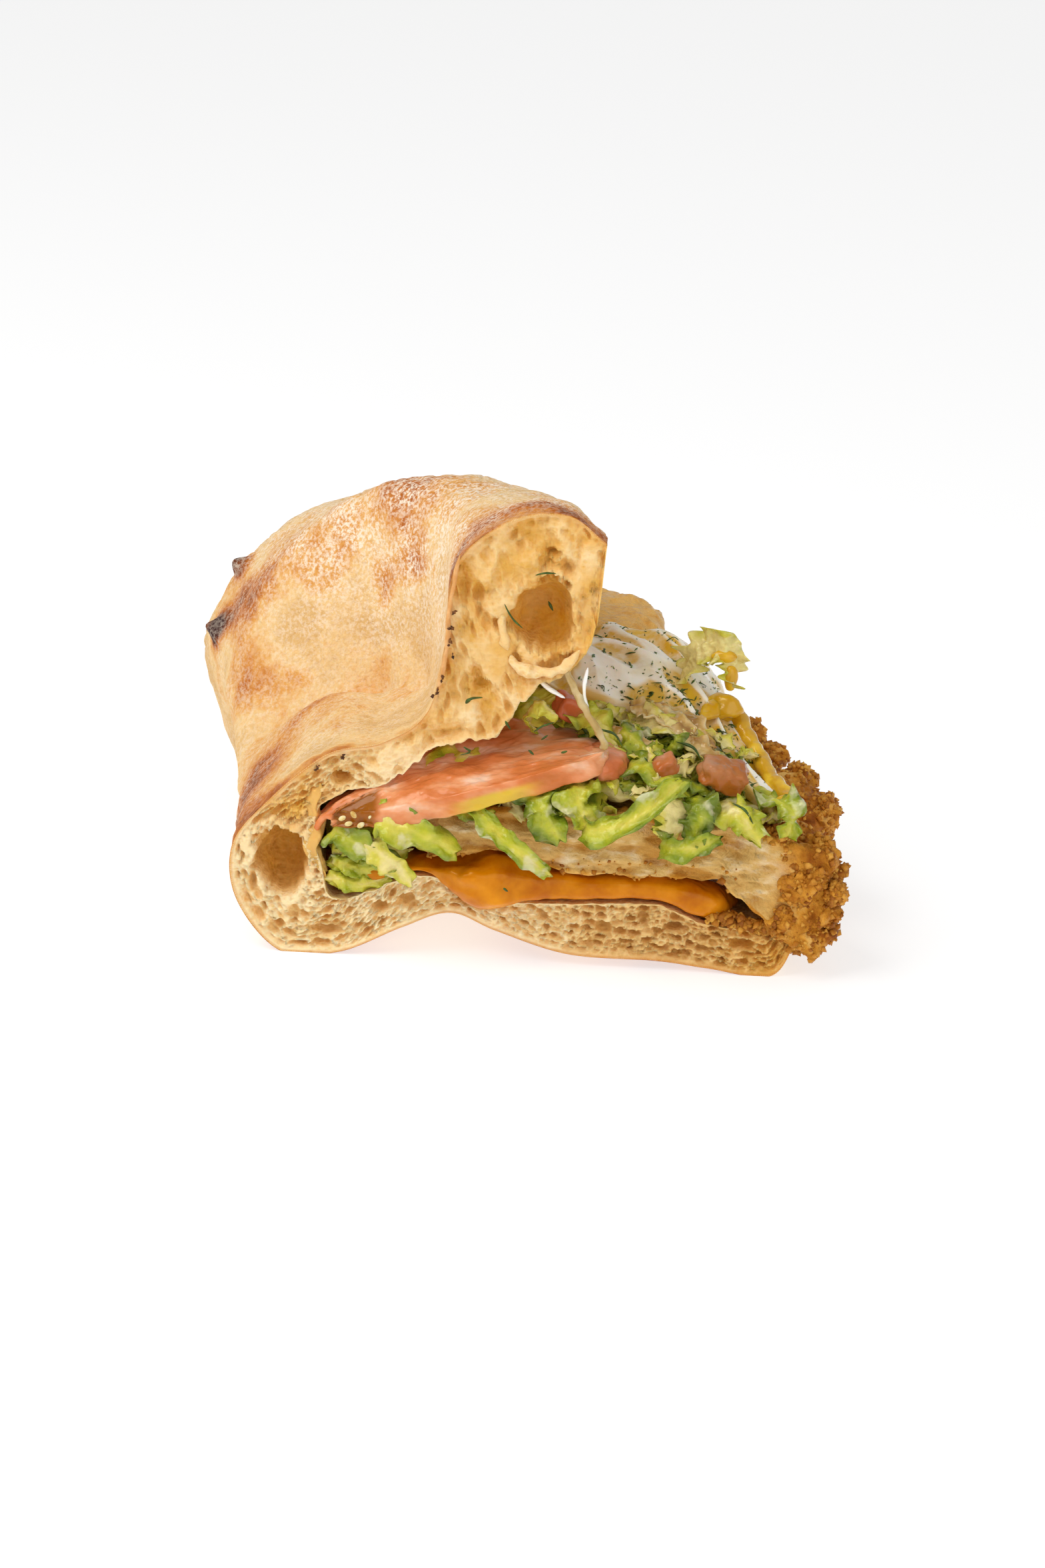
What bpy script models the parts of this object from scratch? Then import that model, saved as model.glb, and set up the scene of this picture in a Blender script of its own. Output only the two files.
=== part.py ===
"""One cut half of a crumbed cutlet sandwich in a folded, flour-dusted flat roll.

The roll is folded round its filling with the fold at -X and the open side at +X. The straight cut
faces -Y and the roll's rounded end lies at +Y. Z is up, and the roll rests on its own bottom slice.
Lengths below are millimetres; meshes are written in metres.
"""
import math

import bmesh
import bpy
import numpy as np
from mathutils import Matrix, Vector, noise

MM = 0.001
GAP = 0.34                      # clear space between neighbouring pieces
CENTRE = (-3.4, 58.4)           # middle of the whole sandwich, which becomes the origin

# Roll
DEPTH = 130.0                   # from the cut to the rounded end
END_START = 98.0                # depth at which the end begins to round off
END_CORE = (-20.0, 25.0)        # x, z that the end rounds towards
END_LEFT = 0.16                 # share of the section that is left at the very end
LEAN = (17.0, 105.0, 2.5)       # the roll leans to -X by this much at this depth, and the power it grows by
SOLE = 0.8                      # how far the bottom slice is pressed flat
COLUMNS = 38                    # steps round the section
BODY_ROWS = 14                  # sections from the cut to where the end begins to round off
END_ROWS = 7                    # sections over the rounded end

# Stations of the cut section, from the bottom slice's edge round the fold to the lid's edge:
# outer x, z and inner x, z
CUT = (
    (64.4, 9.8, 64.4, 9.8), (59.0, 0.9, 56.0, 12.1), (44.6, 2.0, 43.5, 12.7), (32.6, 3.2, 31.8, 16.9),
    (12.5, 3.7, 11.9, 16.0), (-4.2, 8.5, -4.1, 16.2), (-14.9, 12.4, -14.6, 20.0),
    (-25.8, 8.2, -24.5, 20.7), (-39.8, 1.4, -36.4, 15.2), (-53.5, 0.9, -42.5, 14.8),
    (-63.7, 12.8, -44.4, 21.2), (-65.1, 26.2, -46.1, 28.0), (-57.5, 37.1, -45.4, 36.5),
    (-44.2, 49.2, -38.1, 41.3), (-31.7, 52.8, -29.9, 43.7), (-22.3, 60.3, -19.0, 52.2),
    (-18.9, 76.0, -6.4, 55.9), (-17.5, 94.6, -0.2, 65.3), (-6.6, 105.4, 7.7, 70.7),
    (6.5, 107.9, 14.0, 79.5), (15.9, 101.5, 15.9, 101.5),
)
FOLD = 10                       # station where the fold starts to rise
DOME = ((-16.5, 30.0), (50.0, 71.0), (36.0, 45.0))   # centre, outer and inner half-axes of the deep lid
DOME_TURNS = (214, 171, 151, 135, 120, 109, 100, 90, 79, 68, 56)   # where the stations lie on its arcs
LID_FALL = (48.0, 64.0, 0.25)   # the lid's height falls from this depth, over this length, by this share
DEEP_SLICE = (0.5, 13.0)        # under and upper side of the bottom slice at depth
# Depth at which each station starts to swell into the dome, and over what length
SWELL = {11: (48.0, 40.0), 12: (55.0, 25.0), 13: (52.0, 24.0), 14: (45.0, 27.0), 15: (29.0, 36.0),
         16: (10.0, 54.0), 17: (0.0, 66.0)}
RISE = 70.0                     # the same length for every other station
CREASE = 5.2                    # depth of the crease round the low lobe
CREASE_BAND = (13.7, 1.9)       # station at its middle and how many stations it fades over
CREASE_FALL = (7.0, 12.0)       # length of its slope towards the cut and away from it

# Air pockets at the cut: x, z, half-width, half-height, depth
POCKETS = (
    (2.6, 83.2, 7.4, 8.0, 12.0), (4.0, 98.4, 2.2, 1.3, 5.0), (-53.4, 22.6, 6.4, 8.0, 13.0),
    (-41.0, 43.6, 2.8, 1.6, 5.0), (-31.0, 12.6, 2.4, 1.7, 4.0), (-25.0, 14.4, 2.2, 1.7, 4.0),
    (-54.2, 7.0, 1.9, 1.4, 4.0), (-43.5, 6.2, 5.2, 1.2, 4.0), (-60.2, 17.0, 1.2, 2.8, 4.0),
    (36.5, 11.2, 3.0, 1.1, 4.0), (52.2, 8.2, 3.4, 1.4, 4.0), (20.0, 10.6, 2.2, 1.2, 3.0),
    (-12.0, 88.0, 1.6, 3.0, 4.0), (-10.5, 67.0, 2.2, 1.6, 4.0),
)


def smoothstep(x):
    x = np.clip(x, 0.0, 1.0)
    return x * x * (3.0 - 2.0 * x)


def spline(points, s):
    """Catmull-Rom curve through the points, with s running from 0 to 1 over them."""
    p = np.asarray(points, float)
    f = np.clip(np.asarray(s, float), 0.0, 1.0) * (len(p) - 1)
    i = np.minimum(f.astype(int), len(p) - 2)
    t = (f - i)[..., None]
    ext = np.vstack([2 * p[0] - p[1], p, 2 * p[-1] - p[-2]])
    a, b, c, d = ext[i], ext[i + 1], ext[i + 2], ext[i + 3]
    return b + 0.5 * t * (c - a + t * (2 * a - 5 * b + 4 * c - d + t * (3 * (b - c) + d - a)))


def lean(y):
    return -LEAN[0] * (np.clip(y, 0.0, LEAN[1]) / LEAN[1]) ** LEAN[2]


def deep_stations():
    """The section deep in the roll: a flat slice below, and two ellipse arcs for the domed lid."""
    rows = []
    centre, outer, inner = DOME
    for i, (ox, oz, ix, iz) in enumerate(CUT):
        if i < FOLD:
            edge = 1.0 if i == 0 else 0.0
            low, high = DEEP_SLICE
            rows.append((ox * 0.96, low + edge * 8.0, ix * 0.96 - 4.0 * (i > 7), high - edge * 4.1))
            continue
        turn = math.radians(DOME_TURNS[i - FOLD])
        arcs = []
        for half, slice_z in ((outer, DEEP_SLICE[0]), (inner, DEEP_SLICE[1])):
            tall = half[1] if turn < math.pi else centre[1] - slice_z
            arcs += [centre[0] + half[0] * math.cos(turn), centre[1] + tall * math.sin(turn)]
        if i == len(CUT) - 1:
            arcs[2:] = arcs[:2]
        rows.append(tuple(arcs))
    return rows


DEEP = deep_stations()


def swell(station, y):
    """How far a station has turned from the cut section to the deep one at depth y."""
    value = np.zeros(np.broadcast(station, y).shape)
    low = np.floor(station).astype(int)
    for offset in (0, 1):
        for i in range(len(CUT)):
            start, length = SWELL.get(i, (0.0, RISE))
            weight = (low + offset == i) * (1 - np.abs(station - i))
            value += weight * smoothstep((y - start) / length)
    return value


def lumps(x, y, z):
    """Slow swells of a hand-shaped crust, one millimetre high."""
    a = np.sin(0.21 * x + 0.9 + 1.3 * np.sin(0.09 * y)) * np.sin(0.17 * y + 0.4 * np.sin(0.13 * z))
    b = np.sin(0.37 * y + 0.23 * z + 2.0) * np.sin(0.31 * x - 0.19 * z + 0.7)
    return 0.62 * a + 0.38 * b


def roll_point(u, y, side):
    """A point of the roll's skin: u runs round the section, y is depth, side 0 outer or 1 inner."""
    u, y = np.broadcast_arrays(np.asarray(u, float), np.asarray(y, float))
    station = u * (len(CUT) - 1)
    pick = slice(2 * side, 2 * side + 2)
    cut = spline([row[pick] for row in CUT], u)
    deep = spline([row[pick] for row in DEEP], u)
    w = swell(station, y)[..., None]
    xz = cut * (1 - w) + deep * w
    x, z = xz[..., 0], xz[..., 1]
    if side == 0:
        start = np.interp(station, sorted(SWELL), [SWELL[i][0] for i in sorted(SWELL)])
        band = np.exp(-((station - CREASE_BAND[0]) / CREASE_BAND[1]) ** 4)
        past = y - start - 1.0
        z = z - CREASE * band * np.exp(-(past / np.where(past < 0, *CREASE_FALL)) ** 2)
        calm = smoothstep((z - 3.0) / 12.0) * smoothstep(y / 6.0) * smoothstep(np.minimum(u, 1 - u) * 14)
        bump = lumps(x, y, z) * calm
        x = x + 0.35 * bump
        z = z + bump
    turn = np.clip((y - END_START) / (DEPTH - END_START), 0.0, 1.0)
    s = END_LEFT + (1 - END_LEFT) * np.sqrt(np.clip(1 - turn ** 2.2, 0.0, 1.0))
    x = END_CORE[0] + (x - END_CORE[0]) * s + lean(y)
    depth, length, share = LID_FALL
    fall = 1 - share * smoothstep((y - depth) / length) * smoothstep((z - END_CORE[1]) / 30.0)
    z = END_CORE[1] + (z - END_CORE[1]) * s * fall
    return np.stack([x, y, np.maximum(z - SOLE, 0.0)], axis=-1)


def inner_height(x, y, upper):
    """Height of the bottom slice's upper side, or of the lid's underside, above plan point x, y."""
    first, last = (11, 20) if upper else (0, 9)
    u = np.linspace(first, last, 40) / (len(CUT) - 1)
    line = roll_point(u, y, 1)
    order = np.argsort(line[:, 0])
    return float(np.interp(x, line[order, 0], line[order, 2]))


def new_material(name, colour, roughness):
    mat = bpy.data.materials.new(name)
    mat.use_nodes = True
    bsdf = mat.node_tree.nodes["Principled BSDF"]
    bsdf.inputs["Base Color"].default_value = (*colour, 1.0)
    bsdf.inputs["Roughness"].default_value = roughness
    return mat


def new_object(name, verts, faces, collection):
    """One closed object from points in millimetres, with its faces turned outwards."""
    mesh = bpy.data.meshes.new(name)
    mesh.from_pydata([Vector(v) * MM for v in verts], [], faces)
    bm = bmesh.new()
    bm.from_mesh(mesh)
    bmesh.ops.triangulate(bm, faces=bm.faces)
    bmesh.ops.recalc_face_normals(bm, faces=bm.faces)
    bm.to_mesh(mesh)
    bm.free()
    obj = bpy.data.objects.new(name, mesh)
    collection.objects.link(obj)
    return obj


def set_cutter(obj):
    obj.hide_render = True
    obj.display_type = "WIRE"


def grown_copy(obj, amount, cutters):
    """A copy whose surface stands out by the given millimetres, for cutting a gap."""
    mesh = obj.data.copy()
    bm = bmesh.new()
    bm.from_mesh(mesh)
    bm.normal_update()
    shift = [v.co + v.normal * amount * MM * max(1.0, v.calc_shell_factor()) for v in bm.verts]
    for v, co in zip(bm.verts, shift):
        v.co = co
    bm.to_mesh(mesh)
    bm.free()
    copy = bpy.data.objects.new(obj.name + "_room", mesh)
    cutters.objects.link(copy)
    set_cutter(copy)
    return copy


def largest_shell(bm):
    """Removes every shell but the largest, so that no loose scrap stays."""
    seen = set()
    shells = []
    for face in bm.faces:
        if face in seen:
            continue
        stack, shell = [face], []
        seen.add(face)
        while stack:
            f = stack.pop()
            shell.append(f)
            for edge in f.edges:
                for other in edge.link_faces:
                    if other not in seen:
                        seen.add(other)
                        stack.append(other)
        shells.append(shell)
    keep = max(shells, key=lambda shell: sum(f.calc_area() for f in shell))
    for shell in shells:
        if shell is not keep:
            bmesh.ops.delete(bm, geom=shell, context="FACES")


def apply_boolean(obj, operation, collection, cutters):
    """One Boolean with every object of a collection, applied; the collection is then emptied."""
    mod = obj.modifiers.new(operation, "BOOLEAN")
    mod.operation = operation
    mod.operand_type = "COLLECTION"
    mod.collection = collection
    mod.solver = "MANIFOLD"
    view = bpy.context.evaluated_depsgraph_get()
    mesh = bpy.data.meshes.new_from_object(obj.evaluated_get(view))
    obj.modifiers.clear()
    obj.data = mesh
    for item in list(collection.objects):
        bpy.data.objects.remove(item)
    cutters.children.unlink(collection)
    bpy.data.collections.remove(collection)
    bm = bmesh.new()
    bm.from_mesh(mesh)
    bmesh.ops.triangulate(bm, faces=bm.faces)
    largest_shell(bm)
    bm.to_mesh(mesh)
    bm.free()


def tool_collection(name, cutters):
    tools = bpy.data.collections.new(name)
    cutters.children.link(tools)
    return tools


def carve(obj, others, cutters, gap=GAP):
    """Cuts the room of its neighbours, and the gap round it, out of a piece."""
    tools = tool_collection(obj.name + "_rooms", cutters)
    for other in others:
        grown_copy(other, gap, tools)
        # folds in thin leaves can turn the grown surface inwards, so a closer copy cuts there too
        grown_copy(other, 0.35 * gap, tools)
    apply_boolean(obj, "DIFFERENCE", tools, cutters)


def ellipsoid(name, centre, half, collection, subdivisions=1, rough=0.0):
    """An icosphere stretched to the half-sizes; its flats are allowed for by 5 per cent."""
    bm = bmesh.new()
    bmesh.ops.create_icosphere(bm, subdivisions=subdivisions, radius=1.05)
    mesh = bpy.data.meshes.new(name)
    for v in bm.verts:
        swing = 1 + rough * noise.noise(v.co * 2.3 + Vector(centre))
        v.co = Vector([(c + h * w * swing) * MM for c, h, w in zip(centre, half, v.co)])
    bm.to_mesh(mesh)
    bm.free()
    obj = bpy.data.objects.new(name, mesh)
    collection.objects.link(obj)
    return obj


def build_roll(part, cutters):
    """The roll: a C-shaped section lofted from the cut to the rounded end, with its air pockets."""
    # the rows lie closer at the crease and where the end rounds off
    u = np.linspace(0.0, 1.0, COLUMNS + 1)
    near = np.interp(np.linspace(0, 1, BODY_ROWS), (0.0, 0.16, 0.8, 1.0), (0.0, 26.0, 70.0, END_START))
    end = END_START + (DEPTH - END_START) * np.sin(np.linspace(0, math.pi / 2, END_ROWS + 1))[1:]
    y = np.concatenate([near, end])
    outer = roll_point(u[None, :], y[:, None], 0)
    inner = roll_point(u[None, 1:-1], y[:, None], 1)
    rows = len(y)
    verts = np.concatenate([outer.reshape(-1, 3), inner.reshape(-1, 3)])
    width = COLUMNS + 1

    def out_id(j, k):
        return j * width + k

    def in_id(j, k):
        if k in (0, COLUMNS):
            return out_id(j, k)
        return rows * width + j * (COLUMNS - 1) + k - 1

    faces = []
    for j in range(rows - 1):
        for k in range(COLUMNS):
            faces.append([out_id(j, k), out_id(j, k + 1), out_id(j + 1, k + 1), out_id(j + 1, k)])
            faces.append([in_id(j, k), in_id(j + 1, k), in_id(j + 1, k + 1), in_id(j, k + 1)])
    for j in (0, rows - 1):
        for k in range(COLUMNS):
            ring = [out_id(j, k), out_id(j, k + 1), in_id(j, k + 1), in_id(j, k)]
            faces.append(list(dict.fromkeys(ring)))
    roll = new_object("bread", verts, faces, part)
    tools = tool_collection("pockets", cutters)
    for i, (x, z, half_x, half_z, deep) in enumerate(POCKETS):
        detail = 2 if deep > 10 else 1
        pocket = ellipsoid(f"pocket_{i}", (x, -0.5, z - SOLE), (half_x, deep, half_z), tools, detail)
        set_cutter(pocket)
    apply_boolean(roll, "DIFFERENCE", tools, cutters)
    return roll


def slab(name, outline, top, bottom, part, around=36, rings=(0.0, 0.4, 0.7, 0.88, 0.97, 1.0), front=None,
         power=4.0, blunt=0.0, rough=0.0, seed=0.0):
    """A layer of food between two height functions, inside a plan outline.

    The edge is a superellipse of the given power whose rim keeps the blunt share of the height. Where the
    outline lies in front of the cut it stays square.
    """
    line = spline(list(outline) + [outline[0]], np.arange(around) / around)
    centre = line.mean(axis=0)
    square = np.zeros(around) if front is None else (line[:, 1] < front) * 1.0
    verts, faces = [], []

    def place(x, y, edge, sign):
        high, low = top(x, y), bottom(x, y)
        middle = 0.5 * (high + low)
        half = max(0.5 * (high - low) * edge, 0.35)
        crag = rough * noise.noise(Vector((x * 0.19 + seed, y * 0.19, sign * 3.0 + seed)))
        crag *= 1.0 if sign > 0 else 0.3
        verts.append((x, y, middle + sign * half + crag))

    for sign in (1, -1):
        start = len(verts)
        place(centre[0], centre[1], 1.0, sign)
        for ring in rings[1:]:
            rounded = max(blunt, max(0.0, 1 - ring ** power) ** (1 / power))
            for i in range(around):
                edge = square[i] + (1 - square[i]) * rounded
                p = centre + (line[i] - centre) * ring
                place(p[0], p[1], edge, sign)
        for i in range(around):
            faces.append([start, start + 1 + i, start + 1 + (i + 1) % around])
        for r in range(len(rings) - 2):
            a, b = start + 1 + r * around, start + 1 + (r + 1) * around
            for i in range(around):
                k = (i + 1) % around
                faces.append([a + i, b + i, b + k, a + k])
    half = len(verts) // 2
    last = 1 + (len(rings) - 2) * around
    for i in range(around):
        k = (i + 1) % around
        faces.append([last + i, last + k, half + last + k, half + last + i])
    return new_object(name, verts, faces, part)


def leaf(name, path, width, hint, collection, ruffle=1.2, waves=2.0, thick=1.1, cup=0.0, steps=7):
    """A thin wavy leaf or shred along a path; the ruffle grows towards its two long edges."""
    s = np.linspace(0, 1, steps + 1)
    mid = spline(path, s)
    tangent = np.gradient(mid, axis=0)
    tangent /= np.linalg.norm(tangent, axis=1)[:, None]
    side = np.asarray(hint, float) - tangent * (tangent @ np.asarray(hint, float))[:, None]
    side /= np.linalg.norm(side, axis=1)[:, None]
    out = np.cross(tangent, side)
    grow = width * (0.55 + 0.45 * np.sin(math.pi * (0.12 + 0.8 * s)))
    verts, faces = [], []
    across = (-1.0, 0.0, 1.0)
    for sign in (1, -1):
        for w in across:
            wave = ruffle * abs(w) * np.sin(2 * math.pi * waves * s + 1.9 * w) + cup * w * w
            verts += list(mid + side * (0.5 * w * grow)[:, None] + out * (wave + sign * thick / 2)[:, None])
    rows, cols = len(across), steps + 1
    half = rows * cols
    for j in range(rows - 1):
        for i in range(steps):
            a = j * cols + i
            b, c, d = a + 1, a + cols + 1, a + cols
            faces += [[a, b, c], [a, c, d], [half + a, half + c, half + b], [half + a, half + d, half + c]]
    rim = list(range(cols)) + [j * cols + steps for j in range(1, rows)]
    rim += [(rows - 1) * cols + i for i in range(steps - 1, -1, -1)]
    rim += [j * cols for j in range(rows - 2, 0, -1)]
    for a, b in zip(rim, rim[1:] + rim[:1]):
        faces.append([a, b, half + b, half + a])
    return new_object(name, verts, faces, collection)


def rope(name, path, radii, collection, sides=8, steps=14):
    """A soft thick drizzle or strand: a round section along a path, closed at both ends."""
    s = np.linspace(0, 1, steps + 1)
    mid = spline(path, s)
    size = np.interp(s, np.linspace(0, 1, len(radii)), radii)
    tangent = np.gradient(mid, axis=0)
    tangent /= np.linalg.norm(tangent, axis=1)[:, None]
    side = np.cross(tangent, (0.3, 0.2, 1.0))
    side /= np.linalg.norm(side, axis=1)[:, None]
    up = np.cross(side, tangent)
    turn = np.arange(sides) * 2 * math.pi / sides
    verts = []
    for i in range(steps + 1):
        for a in turn:
            verts.append(mid[i] + size[i] * (math.cos(a) * side[i] + math.sin(a) * up[i]))
    faces = [list(range(sides)), [steps * sides + i for i in range(sides)]]
    for i in range(steps):
        for k in range(sides):
            m = (k + 1) % sides
            faces.append([i * sides + k, i * sides + m, (i + 1) * sides + m, (i + 1) * sides + k])
    return new_object(name, verts, faces, collection)


# Layers

def cutlet_top(x, y):
    return 37.4 - 0.25 * max(x - 45.0, 0.0) - 0.02 * y


def cutlet_bottom(x, y):
    """The cutlet sags over the cheese, and its crumb hangs past the bottom slice's edge."""
    rise = 23.0 + 4.5 * math.exp(-((x + 8.0) / 13.0) ** 2) - 4.0 * smoothstep((y - 4.0) / 24.0)
    hang = 0.8 * max(x - 46.0, 0.0) * smoothstep(1.2 - y / 60.0)
    return max(rise - hang, 6.0)


def cheese_top(x, y):
    """The cheese lies against the cutlet and thins out towards the open side."""
    return cutlet_bottom(x, y) - 0.6 - 2.5 * smoothstep((x - 36.0) / 12.0)


def cheese_bottom(x, y):
    floor = inner_height(x, max(y, 0.0), False) + 0.5
    drop = smoothstep((1.5 - y) / 3.0) * math.exp(-((x + 7.0) / 9.0) ** 2)
    return floor * (1 - drop) + 12.6 * drop


def heap_top(x, y):
    """Upper side of the dressed filling: low at the cut, highest at mid-depth, falling to +X."""
    rise = 22.0 * (1 - smoothstep((x - 30.0) / 36.0)) + 2.0
    depth = 0.45 + 0.55 * smoothstep(y / 45.0) - 0.3 * smoothstep((y - 55.0) / 45.0)
    high = 37.5 + rise * depth
    if x < 14.0:
        high = min(high, inner_height(x, max(y, 0.0), True) - 0.8)
    return high


TOMATO_THICK = 5.0


def tomato_top(x, y):
    slope = 0.42 - 0.0105 * (x + 22.0)
    high = 41.4 + 0.32 * (x + 21.0) + slope * (y + 6.0)
    return min(high, inner_height(x, max(y, 0.0), True) - 0.5)


CUTLET_PLAN = ((-21, -1), (0, -1.4), (25, -1.2), (50, -1.5), (66, -2.5), (72, 2), (71, 12), (62, 22),
               (71, 30), (73.5, 37), (70, 46), (63, 56), (58, 69), (53, 79), (40, 93), (20, 101), (-8, 101),
               (-34, 92), (-40, 66), (-33, 36), (-25, 10))
CHEESE_PLAN = ((-40, 1.2), (-27, 0.6), (-18, -2.0), (-12, -6.0), (-4, -6.4), (3, -3.2), (12, -0.6),
               (30, -0.6), (41, -0.9), (47, 2), (50, 10), (52, 30), (49, 60), (36, 86), (6, 95), (-30, 90),
               (-50, 64), (-48, 30), (-43, 9))
SALAD_PLAN = ((-42, 2.0), (-26, 1.6), (-6, 1.2), (14, 0.8), (34, 0.8), (52, 1.0), (60, 6), (59, 18), (52, 32),
              (49, 52), (42, 72), (26, 90), (0, 96), (-28, 88), (-45, 66), (-47, 34))
TOMATO_PLAN = ((-46, -1), (-40, -4), (-31, -6), (-20, -7), (-6, -7.4), (8, -6.8), (17, -4), (19, 3), (15, 12),
               (4, 20), (-12, 23), (-26, 19), (-37, 9), (-44, 4))
HERB_PLAN = ((3, 33), (14, 25), (26, 23), (35, 24), (41, 18), (47, 12), (52, 7), (58, 3), (62, 6), (60, 16),
             (53, 28), (48, 40), (46, 54), (38, 68), (22, 75), (2, 72), (-6, 54))
UPPER_PLAN = ((-6, 66), (12, 62), (27, 68), (33, 80), (28, 93), (12, 101), (-8, 98), (-14, 82))
END_PLAN = ((12, 3), (17, -3), (22, -1), (24, 5), (21, 11), (15, 11))

# Shreds and leaves of the salad that show: path, width, direction of the width, ruffle, waves
SHREDS = (
    (((-38, 5, 27), (-42, -1, 31), (-35, -4, 28), (-27, -4, 24)), 7.0, (0.2, 0.2, 1), 1.0, 1.5),
    (((-30, 5, 25), (-34, -3, 29), (-29, -6, 26), (-24, -6, 21)), 6.5, (1, 0, 0.9), 0.4, 1.0),
    (((-26, 5, 30), (-32, -4, 36), (-24, -8, 34), (-14, -7, 29)), 8.0, (0, 0.4, 1), 2.0, 2.0),
    (((-8, 5, 41), (-10, -4, 40), (-6, -8, 35.5), (-1, -10, 31.5), (7, -9, 26)),
     5.2, (1, 0.3, 0.6), 0.8, 1.5),
    (((3, 5, 42), (2, -4, 44), (5, -8, 40), (9, -9, 34)), 9.0, (1, 0.2, 0.2), 1.8, 2.0),
    (((12, 5, 43), (12, -4, 46), (13, -8, 42), (17, -8, 36)), 8.5, (1, 0.3, 0), 1.6, 1.5),
    (((20, 5, 42), (15, -8, 37), (25, -12, 41), (36, -9, 50)), 6.0, (0, 0.5, 1), 0.9, 1.5),
    (((30, 5, 42), (31, -4, 44), (34, -7, 39), (33, -6, 34)), 8.5, (1, 0.2, 0), 0.7, 1.0),
    (((40, 5, 41), (39, -4, 44), (40, -8, 40), (38, -8, 34)), 7.5, (1, -0.2, 0.1), 1.6, 2.0),
    (((36, 5, 39), (32, -6, 34), (38, -10, 34), (45, -8, 36)), 5.5, (0, 0.4, 1), 1.2, 2.0),
    (((48, 5, 40), (46, -4, 43), (50, -8, 41), (54, -6, 35)), 7.5, (0.8, 0.2, 0.5), 2.2, 2.5),
    (((55, 6, 40), (57, 0, 43), (61, -3, 41), (60, -4, 35.5)), 6.5, (0.9, 0.3, 0.2), 1.8, 2.0),
    (((20, 6, 43), (26, 1, 49), (33, -2, 47), (38, -1, 43)), 7.0, (0.2, 0.8, 0.5), 1.0, 1.5),
    (((18, 13, 50), (23, 9, 53.5), (28, 5, 51), (32, 3, 46.5)), 6.5, (0.6, 0.4, 0.6), 1.2, 2.0),
    (((22, 21, 53), (29, 16, 55), (37, 11, 52), (43, 8, 47)), 7.5, (0.3, 0.9, 0.5), 0.8, 1.0),
    (((8, 20, 53), (12, 13, 56.5), (18, 9, 54), (22, 6, 49)), 7.0, (0.2, 0.9, 0.4), 1.4, 2.0),
    (((2, 12, 53), (0, 6, 58), (3, 4, 61.5), (6.5, 4, 59)), 4.0, (0.2, 1, 0.2), 0.6, 1.0),
)

# Loose crags of crumb at the cutlet's open side: middle and half-sizes
CRAGS = (
    (65, 0, 10, 4.2, 3.6, 3.8), (70, 2, 16, 4, 4.5, 4), (70, 5, 24, 4.4, 5, 3.6), (68.5, 3, 31, 4, 4, 3.4),
    (61, -1, 14, 3.6, 3.4, 3.8), (71, 33, 28.5, 3.8, 6, 3.2), (71.5, 42, 27, 3.4, 4.5, 3.2),
    (66, 51, 30, 4, 4.5, 3.4), (60, 63, 31.5, 3.6, 5, 3.2), (55, 74, 33, 3.8, 5, 3.2),
    (64, 14, 20, 6, 5, 6), (64, -2, 24, 4.6, 3.2, 4.6), (58, 1, 33, 4, 3.5, 3.2),
    (72, -0.5, 21, 2.6, 2.8, 2.4),
)

# The curry sauce's path down the open side, its radii, and its drops: middle and half-sizes
CURRY_PATH = ((40, 24, 53.4), (44, 31, 53.4), (48.3, 34, 51), (51, 30, 48.2), (54.5, 23, 44.8),
              (57.5, 14, 42.2), (61, 6, 40.4), (61.5, -1, 38.8))
CURRY_RADII = (1.3, 2.3, 2.4, 2.0, 1.7, 1.9, 2.1, 1.2)
DROPS = ((45.5, 31.5, 54, 4.2, 3.6, 2.8), (60.5, 4, 40.5, 2.8, 3.2, 2.4))

# The onion strand's path from the lid to the tomato, and its radii
STRAND_PATH = ((7.5, 1.5, 72.5), (10.5, 0.0, 67.0), (13.5, -1.5, 62.0), (17.0, -2.0, 56.5), (18, -1.5, 53.4))
STRAND_RADII = (0.7, 0.9, 1.0, 1.1)

# The leaf tip that stands out of the sauce: path, width, direction of the width
LEAF_TIP = (((36, 37, 58.5), (39, 33.5, 66), (43, 31.5, 69), (46.3, 30.5, 66), (46.8, 30.5, 60.5)),
            8.0, (0.1, 0.3, 1))


def build_cutlet(part, cutters):
    """The crumbed cutlet: rough all over but at its cut, with loose crags fused to its edge."""
    cutlet = slab("cutlet", CUTLET_PLAN, cutlet_top, cutlet_bottom, part, around=40, front=-0.5, power=9.0,
                  blunt=0.6, rough=1.6, seed=4.0)
    tools = tool_collection("crags", cutters)
    for i, (x, y, z, *half) in enumerate(CRAGS):
        ellipsoid(f"crag_{i}", (x, y, z), half, tools, rough=0.8)
    apply_boolean(cutlet, "UNION", tools, cutters)
    return cutlet


def build_salad(part, cutters):
    """The heap of shredded leaf: a core, lower under the sauce, with the shreds that show fused on."""
    def core_top(x, y):
        covered = smoothstep(max((y - 14.0) / 8.0, (x - 40.0) / 6.0))
        return max(heap_top(x, y) - 1.4 - 2.0 * covered, core_bottom(x, y) + 2.0)

    def core_bottom(x, y):
        left = smoothstep((-18.0 + lean(y) - x) / 8.0)
        return (cutlet_top(x, y) + 1.3) * (1 - left) + (inner_height(x, max(y, 0.0), False) + 5.6) * left

    core = slab("lettuce", SALAD_PLAN, core_top, core_bottom, part, around=25,
                rings=(0.0, 0.45, 0.75, 0.93, 1.0), rough=0.8, seed=9.0)
    tools = tool_collection("shreds", cutters)
    for i, (path, width, hint, ruffle, waves) in enumerate(SHREDS):
        leaf(f"shred_{i}", path, width, hint, tools, ruffle=ruffle, waves=waves, steps=6)
    apply_boolean(core, "UNION", tools, cutters)
    return core


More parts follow.
